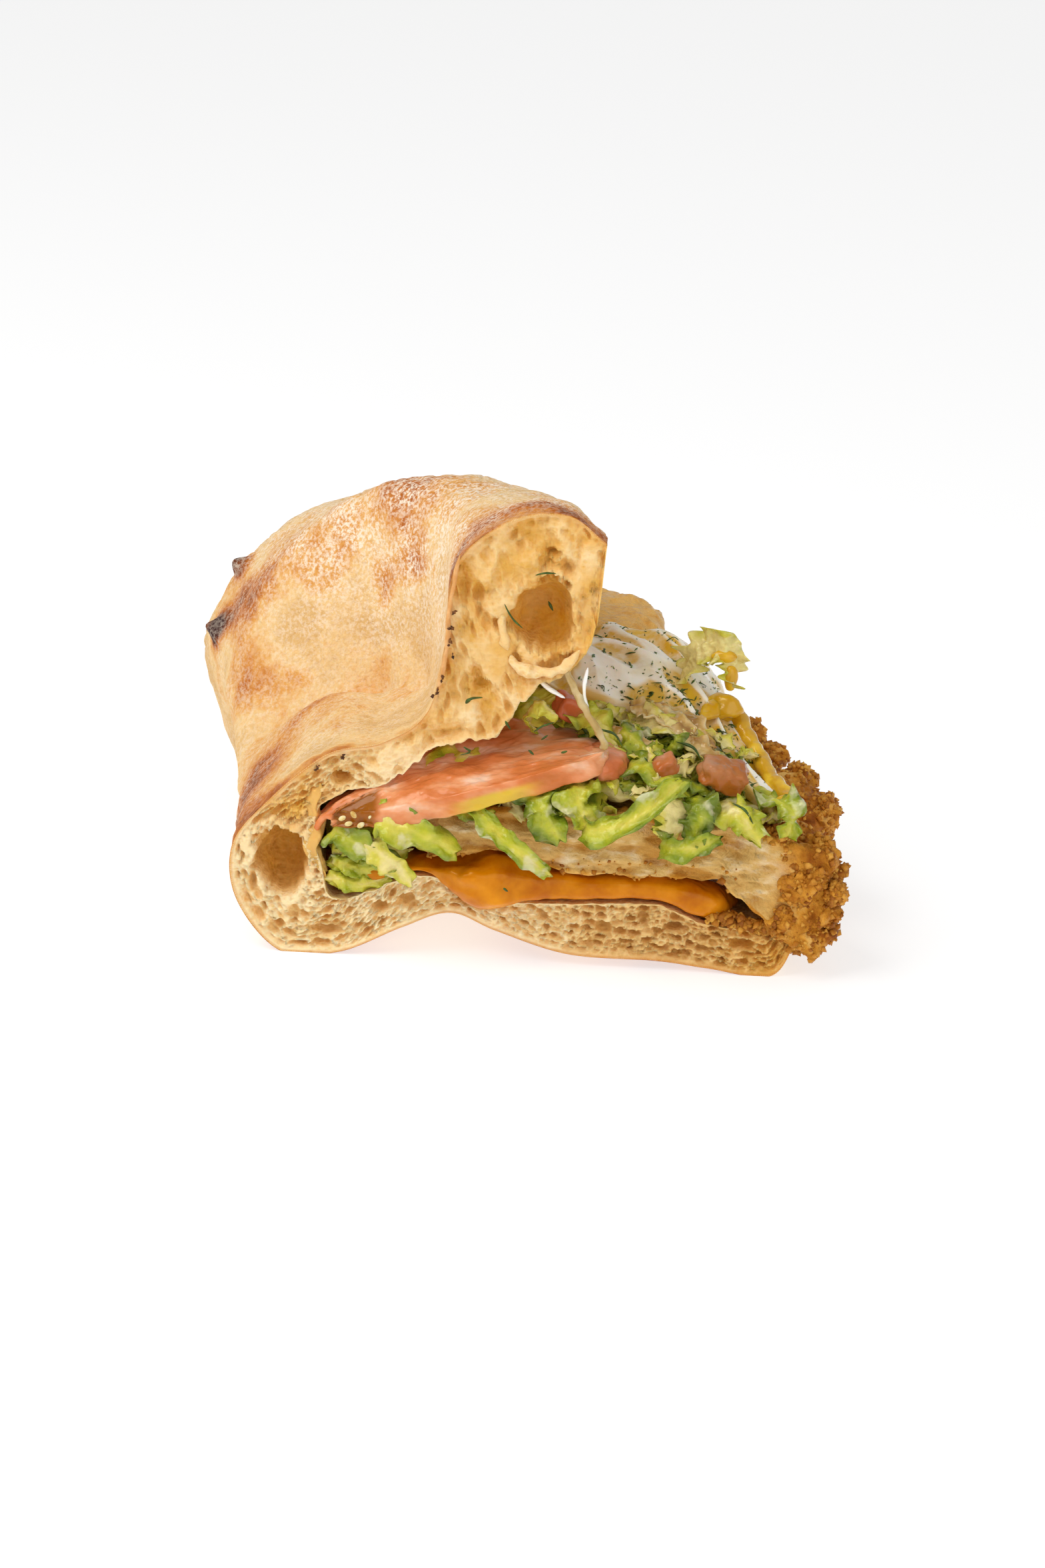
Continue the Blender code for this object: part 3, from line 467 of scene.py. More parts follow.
def rope(path, radii, sides=16, steps=60, rough=0.0, seed=0, flat=1.0, tones=()):
    """A soft strand: circles carried along a path, their radius read along it and swelled by noise."""
    s = np.linspace(0, 1, steps)
    mid = spline(path, s)
    size = np.interp(s, np.linspace(0, 1, len(radii)), radii)
    tangent = unit(np.gradient(mid, axis=0))
    side = unit(np.cross(tangent, (0.3, 0.2, 1.0)))
    up = np.cross(side, tangent)
    turn = np.arange(sides) * 2 * math.pi / sides
    ring = side[:, None] * np.cos(turn)[None, :, None] + up[:, None] * np.sin(turn)[None, :, None] * flat
    size = size[:, None] * (1 + rough * noise(mid[:, None] * 0.6 + ring * 0.8 + seed, seed))
    size = size * np.sqrt(np.clip(np.minimum(s, 1 - s) * 12, 0.02, 1))[:, None]
    return skin(mid[:, None] + ring * size[..., None], *tones)


def lump(centre, half, rough=0.2, seed=0, rows=18, sides=24, power=2.0, turn=None, size=3.0, tones=()):
    """A rounded lump: a sphere's directions drawn out to a superellipsoid of the given power, with noise."""
    lat = np.linspace(0.06, math.pi - 0.06, rows)[:, None]
    lon = (np.arange(sides) * 2 * math.pi / sides)[None, :]
    d = np.stack([np.sin(lat) * np.cos(lon), np.sin(lat) * np.sin(lon), np.cos(lat) + 0 * lon], -1)
    d = d / (np.abs(d) ** power).sum(-1, keepdims=True) ** (1 / power)
    p = d * np.asarray(half, float)
    p = p * (1 + rough * fractal(p + 17.0 * seed, size, 2, seed)[..., None])
    if turn is not None:
        about = [Matrix.Rotation(math.radians(angle), 3, axis) for angle, axis in zip(turn, "XYZ")]
        p = p @ np.array(about[2] @ about[1] @ about[0]).T
    return skin(p + np.asarray(centre, float), *tones)


def chips(places, sizes, seed, stretch=(1.0, 1.0, 1.0)):
    """Many small broken bits at once: each is an octahedron whose six corners are moved at random."""
    rng = np.random.default_rng(seed)
    n = len(places)
    corners = np.array([(1, 0, 0), (-1, 0, 0), (0, 1, 0), (0, -1, 0), (0, 0, 1), (0, 0, -1)], float)
    faces = np.array([
        (0, 2, 4), (2, 1, 4), (1, 3, 4), (3, 0, 4), (2, 0, 5), (1, 2, 5), (3, 1, 5), (0, 3, 5)])
    frames = np.linalg.qr(rng.normal(size=(n, 3, 3)))[0]
    frames *= np.sign(np.linalg.det(frames))[:, None, None]
    shape = corners[None] * np.asarray(stretch) * rng.uniform(0.55, 1.25, (n, 6, 1))
    points = np.einsum("nkc,ncd->nkd", shape, frames) * np.asarray(sizes)[:, None, None] + places[:, None]
    triangles = (faces[None] + 6 * np.arange(n)[:, None, None]).reshape(-1, 3)
    first, second = rng.uniform(0, 1, n), rng.uniform(0, 1, n)
    tone = np.repeat(stacked(first, second, 0.0, 0.0), 6, axis=0)
    return points.reshape(-1, 3), triangles, tone


# Materials

def node(tree, kind, inputs=None, **settings):
    """Adds one shader node with its settings; inputs gives each socket a value or another node's output."""
    made = tree.nodes.new(kind)
    for key, value in settings.items():
        setattr(made, key, value)
    for socket, value in (inputs or {}).items():
        target = made.inputs[socket]
        if isinstance(value, bpy.types.NodeSocket):
            tree.links.new(value, target)
        else:
            target.default_value = value
    return made


def ramp(tree, factor, stops):
    """A colour or grey ramp: stops are place and colour, a hex code, a number or three linear values."""
    made = node(tree, "ShaderNodeValToRGB", {"Fac": factor})
    elements = made.color_ramp.elements
    while len(elements) < len(stops):
        elements.new(0.5)
    for element, (place, value) in zip(elements, stops):
        element.position = place
        element.color = rgba(value)
    return made.outputs["Color"]


def mixed(tree, factor, a, b):
    """Two colours mixed by a factor; each is a socket, a hex code, a number or three linear values."""
    made = node(tree, "ShaderNodeMix", data_type="RGBA", blend_type="MIX")
    for socket, value in ((0, factor), (6, a), (7, b)):
        if isinstance(value, bpy.types.NodeSocket):
            tree.links.new(value, made.inputs[socket])
        else:
            made.inputs[socket].default_value = value if socket == 0 else rgba(value)
    return made.outputs[2]


def maths(tree, operation, a, b, clamp=False):
    """One operation on two values or sockets, held between 0 and 1 if clamp says so."""
    return node(tree, "ShaderNodeMath", {0: a, 1: b}, operation=operation, use_clamp=clamp).outputs[0]


def sway(tree, value, amount, middle=0.5):
    """How far a value lies from its middle, times an amount: added to a tone, it shifts it both ways."""
    return maths(tree, "MULTIPLY", maths(tree, "SUBTRACT", value, middle), amount)


def speckle(tree, size, detail=3.0, stretch=(1, 1, 1), rough=0.55):
    """Noise whose swells are about size millimetres across, in the object's own coordinates."""
    place = node(tree, "ShaderNodeTexCoord").outputs["Object"]
    drawn = node(tree, "ShaderNodeMapping", {"Vector": place, "Scale": stretch}).outputs["Vector"]
    sockets = {"Vector": drawn, "Scale": 1.0 / (size * MM * 1.6), "Detail": detail, "Roughness": rough}
    return node(tree, "ShaderNodeTexNoise", sockets).outputs["Fac"]


def bubbles(tree, size, stretch=(1, 1, 1), smooth=0.3):
    """Distance from the middle of the nearest of many pores about size millimetres apart."""
    place = node(tree, "ShaderNodeTexCoord").outputs["Object"]
    drawn = node(tree, "ShaderNodeMapping", {"Vector": place, "Scale": stretch}).outputs["Vector"]
    sockets = {"Vector": drawn, "Scale": 1.0 / (size * MM), "Smoothness": smooth}
    return node(tree, "ShaderNodeTexVoronoi", sockets, feature="SMOOTH_F1").outputs["Distance"]


def read_tones(tree):
    """The piece's own tones, three shares from 0 to 1."""
    read = node(tree, "ShaderNodeAttribute", attribute_name="tone").outputs["Color"]
    made = node(tree, "ShaderNodeSeparateColor", {"Color": read})
    return [made.outputs[i] for i in range(3)]


def material(name, roughness, specular=0.5, ior=1.45, soft=0.0, soft_mm=2.0, coat=0.0, coat_roughness=0.1,
             soft_radius=(1.0, 0.6, 0.35), tint=(1.0, 0.8, 0.45)):
    """An empty Principled material with its plain values set; returns it, its tree and its shader.

    The tint colours the gloss: fat, syrup and dressing on food give warm highlights instead of white ones.
    """
    made = bpy.data.materials.new(name)
    made.use_nodes = True
    tree = made.node_tree
    shader = tree.nodes["Principled BSDF"]
    for socket, value in (("Roughness", roughness), ("Specular IOR Level", specular), ("IOR", ior),
                          ("Subsurface Weight", soft), ("Subsurface Scale", soft_mm * MM),
                          ("Subsurface Radius", soft_radius), ("Specular Tint", rgba(tint)),
                          ("Coat Weight", coat), ("Coat Roughness", coat_roughness)):
        shader.inputs[socket].default_value = value
    return made, tree, shader


def relief(tree, shader, height, distance_mm, strength):
    """Joins a height to the shader as a bump of the given depth."""
    sockets = {"Height": height, "Distance": distance_mm * MM, "Strength": strength}
    made = node(tree, "ShaderNodeBump", sockets)
    tree.links.new(made.outputs["Normal"], shader.inputs["Normal"])


def colour(tree, shader, value):
    """Joins a colour to the shader's base."""
    tree.links.new(value, shader.inputs["Base Color"])


def crust_material(sizes, colours):
    """Baked wheat crust under flour: pale where folded, orange-brown on the crests, charred at the tips."""
    made, tree, shader = material("floured_wheat_crust", 0.78, 0.25, soft=0.08, soft_mm=1.5)
    brown, flour, _ = read_tones(tree)
    # broad uneven browning, then toasted freckles a few millimetres wide
    broad = sway(tree, speckle(tree, 9.0, 4.0), 1.55)
    fine = sway(tree, speckle(tree, 1.3, 3.0), 0.4)
    level = maths(tree, "ADD", maths(tree, "ADD", brown, broad), fine)
    baked = ramp(tree, maths(tree, "MULTIPLY", level, 0.6, True), [
        (0.0, colours.crust_pale), (0.13, "#EEC78A"), (0.25, "#E4A85C"), (0.37, colours.crust_brown),
        (0.48, "#BC6A28"), (0.6, "#8E4616"), (0.8, "#432829"), (1.0, "#291C26")])
    # flour lies in fine grains, thickest where the tone says
    drift = ramp(tree, speckle(tree, 6.0, 3.0), [(0.35, 0.45), (0.6, 1.0)])
    grain = ramp(tree, speckle(tree, 0.6, 3.0, rough=0.7), [(0.42, 0.0), (0.6, 1.0)])
    dust = maths(tree, "MULTIPLY", maths(tree, "MULTIPLY", grain, drift), flour, True)
    colour(tree, shader, mixed(tree, dust, baked, colours.flour))
    height = maths(tree, "ADD", speckle(tree, 0.8, 2.0), speckle(tree, 3.0, 4.0, (0.6, 1.0, 1.0)))
    relief(tree, shader, height, sizes.grain_size / MM, 0.9)
    return made


def crumb_material(colours):
    """Open, moist crumb of a long-proved dough: pale walls, painted shade in the pores, browned at its rim.
    """
    made, tree, shader = material("open_wheat_crumb", 0.55, 0.3, soft=0.25, soft_mm=2.0)
    # the first tone is painted shade: deeper in pores and pockets, and over the slice's lower right
    deep, rim, soaked = read_tones(tree)
    pore = bubbles(tree, 1.25, (0.75, 1.0, 1.25))
    tiny = bubbles(tree, 0.6)
    wall = maths(tree, "ADD", maths(tree, "MULTIPLY", pore, 0.7), maths(tree, "MULTIPLY", tiny, 0.3))
    # painted shade darkens the micropores in patches, with smoother gelled crumb between
    showing = ramp(tree, speckle(tree, 4.0, 3.0), [(0.38, 0.1), (0.6, 0.62)])
    pore_shade = maths(tree, "MULTIPLY", maths(tree, "SUBTRACT", 0.46, wall), showing)
    patch = sway(tree, speckle(tree, 7.0), 0.4)
    shade = maths(tree, "ADD", maths(tree, "ADD", deep, pore_shade), patch, True)
    base = ramp(tree, shade, [
        (0.0, colours.crumb), (0.25, "#F0C988"), (0.5, "#D6A55E"), (0.78, "#AE7A34"), (1.0, "#7E4E12")])
    stain = ramp(tree, speckle(tree, 5.0, 3.0), [(0.3, 0.25), (0.62, 1.0)])
    wet = mixed(tree, maths(tree, "MULTIPLY", soaked, stain, True), base, "#E0A22A")
    colour(tree, shader, mixed(tree, rim, wet, "#C98238"))
    relief(tree, shader, wall, 0.45, 0.8)
    return made


def coat_material(name, colours, glazed=0.0):
    """Fried breadcrumb coat, golden to dark where it caught, over pale cooked chicken where it is cut."""
    made, tree, shader = material(name, 0.5 - 0.2 * glazed, 0.45, soft=0.12, soft_mm=1.5, coat=0.2 * glazed,
                                  tint=(1.0, 0.68, 0.3))
    coat, toasted, wet = read_tones(tree)
    patch = sway(tree, speckle(tree, 2.5, 4.0), 1.3)
    fried = ramp(tree, maths(tree, "ADD", toasted, patch), [
        (0.0, "#EFBE6A"), (0.28, "#DA9634"), (0.5, colours.fried_coat),
        (0.72, "#98500E"), (1.0, "#562206")])
    fibre = speckle(tree, 1.4, 4.0, (0.35, 1.0, 1.0))
    torn = speckle(tree, 5.0, 4.0, (0.6, 1.0, 1.4))
    mottled = maths(tree, "ADD", maths(tree, "MULTIPLY", fibre, 0.55), maths(tree, "MULTIPLY", torn, 0.45))
    meat = ramp(tree, mottled, [
        (0.32, "#B07A34"), (0.43, "#DCB066"), (0.52, colours.meat), (0.64, "#F5DEB4")])
    both = mixed(tree, coat, meat, fried)
    # the third tone: golden sauce soaked into the meat, with painted shade in the gaps between its shreds
    colour(tree, shader, mixed(tree, maths(tree, "MULTIPLY", wet, 0.8, True), both, "#C07E20"))
    height = maths(tree, "ADD", speckle(tree, 1.2, 4.0, rough=0.7), maths(tree, "MULTIPLY", fibre, 0.4))
    relief(tree, shader, height, 1.1, 0.9)
    return made


def cheese_material(colours):
    """Melted orange cheese: glossy with fat, a little see-through, with darker oily patches."""
    made, tree, shader = material("melted_orange_cheese", 0.22, 0.7, soft=0.3, soft_mm=2.0, coat=0.12,
                                  coat_roughness=0.06, soft_radius=(1.0, 0.45, 0.1), tint=(1.0, 0.62, 0.14))
    pale, _, _ = read_tones(tree)
    base = ramp(tree, speckle(tree, 6.0, 4.0), [(0.3, "#B05400"), (0.5, colours.cheese), (0.7, "#E8961A")])
    colour(tree, shader, mixed(tree, pale, base, "#E4B264"))
    relief(tree, shader, speckle(tree, 2.2, 3.0), 0.35, 0.6)
    return made


def tomato_material(colours):
    """Ripe tomato: wet pink-red flesh, a yellow-green core strip and brown-green jelly round its seeds."""
    made, tree, shader = material("ripe_tomato_flesh", 0.24, 0.5, 1.36, soft=0.35, soft_mm=2.5, coat=0.3,
                                  coat_roughness=0.06, soft_radius=(1.0, 0.3, 0.15), tint=(1.0, 0.75, 0.5))
    core, jelly, skin_share = read_tones(tree)
    flesh = ramp(tree, speckle(tree, 5.0, 4.0, (0.5, 1.0, 1.0)), [
        (0.3, "#C26A2C"), (0.45, colours.tomato), (0.56, "#E8A070"), (0.68, "#F6D0B4")])
    flesh = mixed(tree, core, flesh, "#DDB83C")
    flesh = mixed(tree, jelly, flesh, "#98560E")
    colour(tree, shader, mixed(tree, skin_share, flesh, "#C4603A"))
    relief(tree, shader, speckle(tree, 1.1, 3.0), 0.25, 0.5)
    return made


def lettuce_material(colours):
    """Crisp lettuce: yellow-green to deep green blades with pale ribs and veins, wet with dressing."""
    made, tree, shader = material("crisp_lettuce", 0.26, 0.6, 1.36, soft=0.15, soft_mm=1.0, coat=0.35,
                                  coat_roughness=0.07, soft_radius=(0.5, 1.0, 0.2), tint=(0.95, 1.0, 0.4))
    edge, own, vein = read_tones(tree)
    level = maths(tree, "ADD", own, sway(tree, speckle(tree, 3.5), 0.9))
    level = maths(tree, "ADD", level, sway(tree, edge, 0.4, 0.6))
    blade = ramp(tree, level, [
        (0.1, "#EAD88E"), (0.28, "#D8CA4C"), (0.5, colours.lettuce), (0.74, "#869420"), (1.0, "#4E6216")])
    pale = maths(tree, "MULTIPLY", vein, 0.3, True)
    leafy = mixed(tree, pale, blade, "#DAD080")
    # dressing that clings in patches
    dressed = ramp(tree, speckle(tree, 4.5, 3.0), [(0.6, 0.0), (0.68, 0.6)])
    colour(tree, shader, mixed(tree, dressed, leafy, "#E2DAB6"))
    relief(tree, shader, speckle(tree, 1.1, 3.0), 0.5, 0.9)
    return made


def herb_sauce_material(colours):
    """Thick white yoghurt sauce with a sheen, streaked with yellow where curry sauce ran into it."""
    made, tree, shader = material("white_herb_sauce", 0.2, 0.6, 1.4, soft=0.3, soft_mm=2.0, coat=0.4,
                                  coat_roughness=0.06, tint=(1.0, 0.9, 0.65))
    yellow, grey, _ = read_tones(tree)
    base = ramp(tree, speckle(tree, 5.0, 4.0), [
        (0.3, "#F0E2BE"), (0.46, colours.white_sauce), (0.62, "#FFFAF0")])
    base = mixed(tree, maths(tree, "MULTIPLY", grey, 0.15, True), base, "#A8A884")
    patches = ramp(tree, speckle(tree, 3.5, 4.0), [(0.35, 0.45), (0.55, 1.0)])
    stain = maths(tree, "MULTIPLY", yellow, patches, True)
    colour(tree, shader, mixed(tree, stain, base, "#E0B230"))
    relief(tree, shader, speckle(tree, 1.8, 3.0), 0.3, 0.5)
    return made


def plain_food(name, dark, mid, light, roughness, size, soft=0.2, coat=0.2, bump=0.2, soft_mm=1.5):
    """A food of one colour that is mottled between a dark, a middle and a light shade."""
    made, tree, shader = material(name, roughness, 0.5, soft=soft, soft_mm=soft_mm, coat=coat)
    own, _, _ = read_tones(tree)
    level = maths(tree, "ADD", speckle(tree, size, 3.0), sway(tree, own, 0.3))
    colour(tree, shader, ramp(tree, level, [(0.3, dark), (0.5, mid), (0.7, light)]))
    relief(tree, shader, speckle(tree, size * 0.4, 3.0), bump, 0.6)
    return made


# Pieces

def roll_surface(sizes):
    """The roll's whole skin: for each u a ring over the outer skin, round the far end, back along the inner
    skin and down the cut. Pores push the cut inwards: each is a bowl, deepest in the middle."""
    fine = np.linspace(0, 1, 1201)
    middle = 0.5 * (roll_point(fine, 0.0, 0) + roll_point(fine, 0.0, 1))
    thick = np.linalg.norm(roll_point(fine, 0.0, 0) - roll_point(fine, 0.0, 1), axis=1)
    # the columns stand closer together where the roll is thick
    step = np.linalg.norm(np.diff(middle, axis=0), axis=1)
    run = np.concatenate([[0], np.cumsum(step * (1 + thick[1:] / 40))])
    u = np.interp(np.linspace(0, run[-1], sizes.columns), run, fine)
    arc = np.interp(u, fine, np.concatenate([[0], np.cumsum(step)]))
    body = END_START * np.linspace(0, 1, 66) ** 1.25
    end = END_START + (DEPTH - END_START) * np.sin(np.linspace(0, math.pi / 2, 16))[1:]
    y_out = np.concatenate([body, end])
    y_in = DEPTH * np.linspace(1, 0, 30) ** 1.9
    outer = roll_point(u[:, None], y_out[None], 0)
    inner = roll_point(u[:, None], y_in[None], 1)

    # the torn edge under the lid and the crumb's rough inner skin
    lid = smoothstep((u - 0.62) / 0.06)[:, None] * smoothstep((0.985 - u) / 0.03)[:, None]
    ragged = (0.35 + 0.9 * lid) * fractal(inner * (1, 0.6, 1), 3.2, 3, 5)
    off_edges = smoothstep((1 - np.abs(2 * u - 1)) * 12)[:, None]
    inner[..., 2] += ragged * off_edges * np.exp(-inner[..., 1] / 30)
    rough = 0.28 * fractal(outer, 5.0, 3, 7) + 0.12 * fractal(outer, 1.6, 2, 8)
    # fine wrinkles of a crust that was bent while warm: thin grooves along the zero lines of a
    # drawn-out noise
    groove = (1 - np.abs(noise(outer / (4.0, 15.0, 8.0), 44))) ** 9
    rough = rough - 0.55 * groove * smoothstep(noise(outer / 18.0, 45) + 0.4)
    rough = rough * smoothstep(outer[..., 2] / 4.0) * smoothstep(outer[..., 1] / 3.0)
    away = unit((outer - (END_CORE[0], 0.0, 30.0)) * (1, 0, 1))
    outer = outer + away * rough[..., None]
    for *place, reach, strength in BROWNED:
        if strength > CHARRED_FROM:
            outer = outer + away * (3.4 * nearness(outer, place, 0.8 * reach))[..., None]
    outer[..., 2] = np.maximum(outer[..., 2], 0.0)

    share = np.linspace(1, 0, sizes.rows + 2)[1:-1]
    ends = (0.3, 0.6, 0.85)
    last_out, last_in = outer[:, -1:], inner[:, :1]
    cap = np.concatenate([last_out * (1 - t) + last_in * t for t in ends], axis=1)
    first_out, first_in = outer[:, :1], inner[:, -1:]
    front = first_out * (1 - share[None, :, None]) + first_in * share[None, :, None]
    face = np.concatenate([first_in, front, first_out], axis=1)
    t = np.concatenate([[1.0], share, [0.0]])
    span = np.linalg.norm(face[:, 0] - face[:, -1], axis=1)[:, None]
    below = t[None] * span
    inside = np.minimum(below, (1 - t[None]) * span)
    lid_front = smoothstep((u - 0.66) / 0.06)[:, None] * np.ones_like(below)

    # pores: taller and shallower in the lid, long and flat in the pressed slice
    room = smoothstep((below - 0.7) / 1.2) * smoothstep(inside / 0.9)
    push = np.zeros_like(below)
    size = sizes.pore_size / MM
    stretch = 1 + 1.3 * lid_front
    for k, (long, high, depth, kept, shallower) in enumerate(PORES):
        p = stacked(arc[:, None] / (size * long), below / (size * high * stretch), 0.0)
        p[..., :2] += 0.25 * noise(face * 0.35, 30 + k)[..., None]
        far, number = cells(p, 11 * k + 3)
        radius = 0.28 + 0.3 * np.modf(number * 7.3)[0]
        bowl = np.sqrt(np.clip(1 - (far / radius) ** 2, 0, 1)) * (number < kept)
        push = np.maximum(push, depth * bowl * (1 - shallower * lid_front))
    push = push * room
    torn = (0.4 + 0.9 * lid_front) * fractal(face, 3.8, 4, 21)
    # soft torn folds across the lid: valleys along the zero lines of a slow noise
    torn = torn + lid_front * (2.6 * (0.5 - np.abs(noise(face / 6.5, 24))) + 0.8 * noise(face / 9.0, 25))
    push = push + smoothstep(inside / 2.0) * (torn + 0.3)
    wobble = 1 + 0.22 * fractal(face, 4.0, 3, 41)
    for x, z, half_x, half_z, deep in POCKETS:
        r = np.hypot((face[..., 0] - x) / half_x, (face[..., 2] - z + SOLE) / half_z) * wobble
        push = np.maximum(push, deep * np.sqrt(np.clip(1 - r * r, 0, 1)) + push * 0.25 * (r < 1))
        if deep > LARGE_POCKET:
            curl = np.exp(-((r - 1.16) / 0.13) ** 2) * smoothstep(noise(face / 3.0, 43) + 0.6)
            push = push - 2.2 * curl * smoothstep(inside / 2.0)
    face[..., 1] = np.maximum(face[..., 1] + push, -CURLED_OUT)

    # tones of the crust: browning and flour
    brown = np.full(outer.shape[:2], 0.10)
    charred = np.zeros_like(brown)
    for *place, reach, strength in BROWNED:
        near = nearness(outer, place, 1.3 * reach)
        if strength > CHARRED_FROM:
            charred = charred + strength * near
        else:
            brown = brown + 0.85 * strength * near
    height = outer[..., 2]
    under = smoothstep((14.0 - height) / 14.0) * smoothstep(u * LAST - 0.5)[:, None]
    brown = np.maximum(brown, 0.75 * under)
    hinge = np.exp(-((u[:, None] * LAST - 10.8) / 1.6) ** 2)
    brown = brown + 0.32 * (1 - smoothstep(outer[..., 1] / 9))
    brown = brown + 0.2 * hinge * (1 - smoothstep((outer[..., 1] - 10) / 50))
    side_away = smoothstep((outer[..., 0] - lean(outer[..., 1]) - 10) / 30) * smoothstep((height - 40) / 20)
    brown = np.minimum(brown + 0.25 * side_away, 0.78) + charred
    # the flour rubbed off near the cut
    rubbed = 0.2 + 0.8 * smoothstep(outer[..., 1] / 14)
    flour = np.clip(0.42 + 0.58 * smoothstep((height - 52) / 30) - 0.4 * under, 0, 1) * rubbed

    # tones of the crumb: painted shade from the depth of the pores and over the slice, browned rim and sauce
    # soaked in
    rim = np.clip(1.0 - (below - 0.2) / 0.6, 0, 1) * 0.8
    rim = np.maximum(rim, 0.4 * np.exp(-below / 1.2) * lid_front)
    x, z = face[..., 0], face[..., 2]
    # painted shade: the slice's cut is drawn darker towards +X and low down
    shadowed = 0.34 * smoothstep((x + 12) / 62) * smoothstep((22 - z) / 6)
    # painted light: the fold's pocket gets less painted shade, as if light reached into it from the side
    lit = 0.35 * spot(x, z, -53, 22, 8, 9)
    # painted shade: the crumb is drawn darker the deeper its pores and pockets push in
    deep = np.clip(push / 9.5 + 0.04 + shadowed - lit, 0, 0.58)
    # the lid, the fold's wall and the slice's thin edge took up more sauce than the slice between them
    soaked = 0.72 * smoothstep((z - 44) / 14) * smoothstep((x + 40) / 16)
    soaked = np.maximum(soaked, 0.9 * spot(x, z, -50, 37, 12, 14))
    soaked = np.maximum(soaked, 0.5 * smoothstep((x - 40) / 16))
    soaked = np.maximum(soaked, smoothstep((x + 2) / 14) * smoothstep((z - 62) / 10) * 0.8)
    soaked = np.maximum(soaked, 0.7 * spot(x, z, -12.5, 84, 3.2, 9))
    for px, pz, half_x, half_z, strength in WET_POCKETS:
        far = np.hypot((x - px) / half_x, (z - pz) / half_z)
        soaked = np.maximum(soaked, strength * smoothstep(2.2 - 2 * far))
    near_lid = smoothstep((u - 0.6) / 0.1)[:, None]

    strips = (outer, cap, inner[:, :-1], face[:, :-1])

    def laid(*values):
        """One tone for the whole skin, from its values on the outer skin, end, inner skin and cut."""
        parts = [np.broadcast_to(value, strip.shape[:2]) for value, strip in zip(values, strips)]
        return np.concatenate(parts, axis=1)

    return skin(np.concatenate(strips, axis=1), laid(brown, 0.6, 0.3, deep[:, :-1]),
                laid(flour, 0.5, 0.0, rim[:, :-1]), laid(0.0, 0.0, 0.4 * near_lid, soaked[:, :-1]),
                laid(0.0, 0.0, 1.0, 1.0))


def cutlet_top(x, y):
    """Upper side of the cutlet: flat, falling at the open side and a little with depth."""
    return 37.4 - 0.25 * np.maximum(x - 45.0, 0.0) - 0.02 * y


def cutlet_bottom(x, y):
    """Underside of the cutlet: raised over the cheese's lip, hanging down at the open side."""
    rise = 23.0 + 4.5 * np.exp(-((x + 8.0) / 13.0) ** 2) - 4.0 * smoothstep((y - 4.0) / 24.0)
    hang = 0.8 * np.maximum(x - 46.0, 0.0) * smoothstep(1.2 - y / 60.0)
    return np.maximum(rise - hang, 6.0)


def cheese_top(x, y):
    """Upper side of the cheese, just under the cutlet."""
    return cutlet_bottom(x, y) - 0.6 - 2.5 * smoothstep((x - 36.0) / 12.0)


def cheese_bottom(x, y):
    """Underside of the cheese: it lies on the slice, and its lip hangs down in front of the cut."""
    floor = inner_height(x, np.maximum(y, 0.0), False) + 0.5
    drop = smoothstep((1.5 - y) / 3.0) * np.exp(-((x + 7.0) / 9.0) ** 2)
    return floor * (1 - drop) + 12.6 * drop


def heap_top(x, y):
    """Upper side of the dressed filling: low at the cut, highest at mid-depth, falling to +X."""
    rise = 22.0 * (1 - smoothstep((x - 30.0) / 36.0)) + 2.0
    depth = 0.45 + 0.55 * smoothstep(y / 45.0) - 0.3 * smoothstep((y - 55.0) / 45.0)
    high = 37.5 + rise * depth
    lid = inner_height(x, np.maximum(y, 0.0), True) - 0.8
    return np.where(x < 14.0, np.minimum(high, lid), high)


def tomato_top(x, y):
    """Upper side of the tomato slice: tilted up to +X and into the roll, under the lid."""
    slope = 0.42 - 0.0105 * (x + 22.0)
    high = 41.4 + 0.32 * (x + 21.0) + slope * (y + 6.0)
    return np.minimum(high, inner_height(x, np.maximum(y, 0.0), True) - 0.5)


def core_low(x, y):
    """Underside of the lettuce's core: on the cutlet, and down beside it at the fold."""
    left = smoothstep((-18.0 + lean(y) - x) / 8.0)
    slice_top = inner_height(x, np.maximum(y, 0.0), False)
    return (cutlet_top(x, y) + 1.3) * (1 - left) + (slice_top + 5.6) * left


def core_high(x, y):
    """Upper side of the lettuce's core: under the shreds, and lower still where sauce covers it."""
    covered = smoothstep(np.maximum((y - 14.0) / 8.0, (x - 40.0) / 6.0))
    return np.maximum(heap_top(x, y) - 1.4 - 2.0 * covered, core_low(x, y) + 2.0)


# Plan outlines of the layers: x, y
CUTLET_PLAN = ((-21, -1), (0, -1.4), (25, -1.2), (50, -1.5), (66, -2.5), (72, 2), (71, 12), (62, 22),
               (71, 30), (73.5, 37), (70, 46), (63, 56), (58, 69), (53, 79), (40, 93), (20, 101), (-8, 101),
               (-34, 92), (-40, 66), (-33, 36), (-25, 10))
CHEESE_PLAN = ((-40, 1.2), (-27, 0.6), (-18, -2.0), (-12, -6.0), (-4, -6.4), (3, -3.2), (12, -0.6),
               (30, -0.6), (41, -0.9), (47, 2), (50, 10), (52, 30), (49, 60), (36, 86), (6, 95), (-30, 90),
               (-50, 64), (-48, 30), (-43, 9))
SALAD_PLAN = ((-42, 2.0), (-26, 1.6), (-6, 1.2), (14, 0.8), (34, 0.8), (52, 1.0), (60, 6), (59, 18),
              (52, 32), (49, 52), (42, 72), (26, 90), (0, 96), (-28, 88), (-45, 66), (-47, 34))
TOMATO_PLAN = ((-46, -1), (-40, -4), (-31, -6), (-20, -7), (-6, -7.4), (8, -6.8), (17, -4), (19, 3),
               (15, 12), (4, 20), (-12, 23), (-26, 19), (-37, 9), (-44, 4))
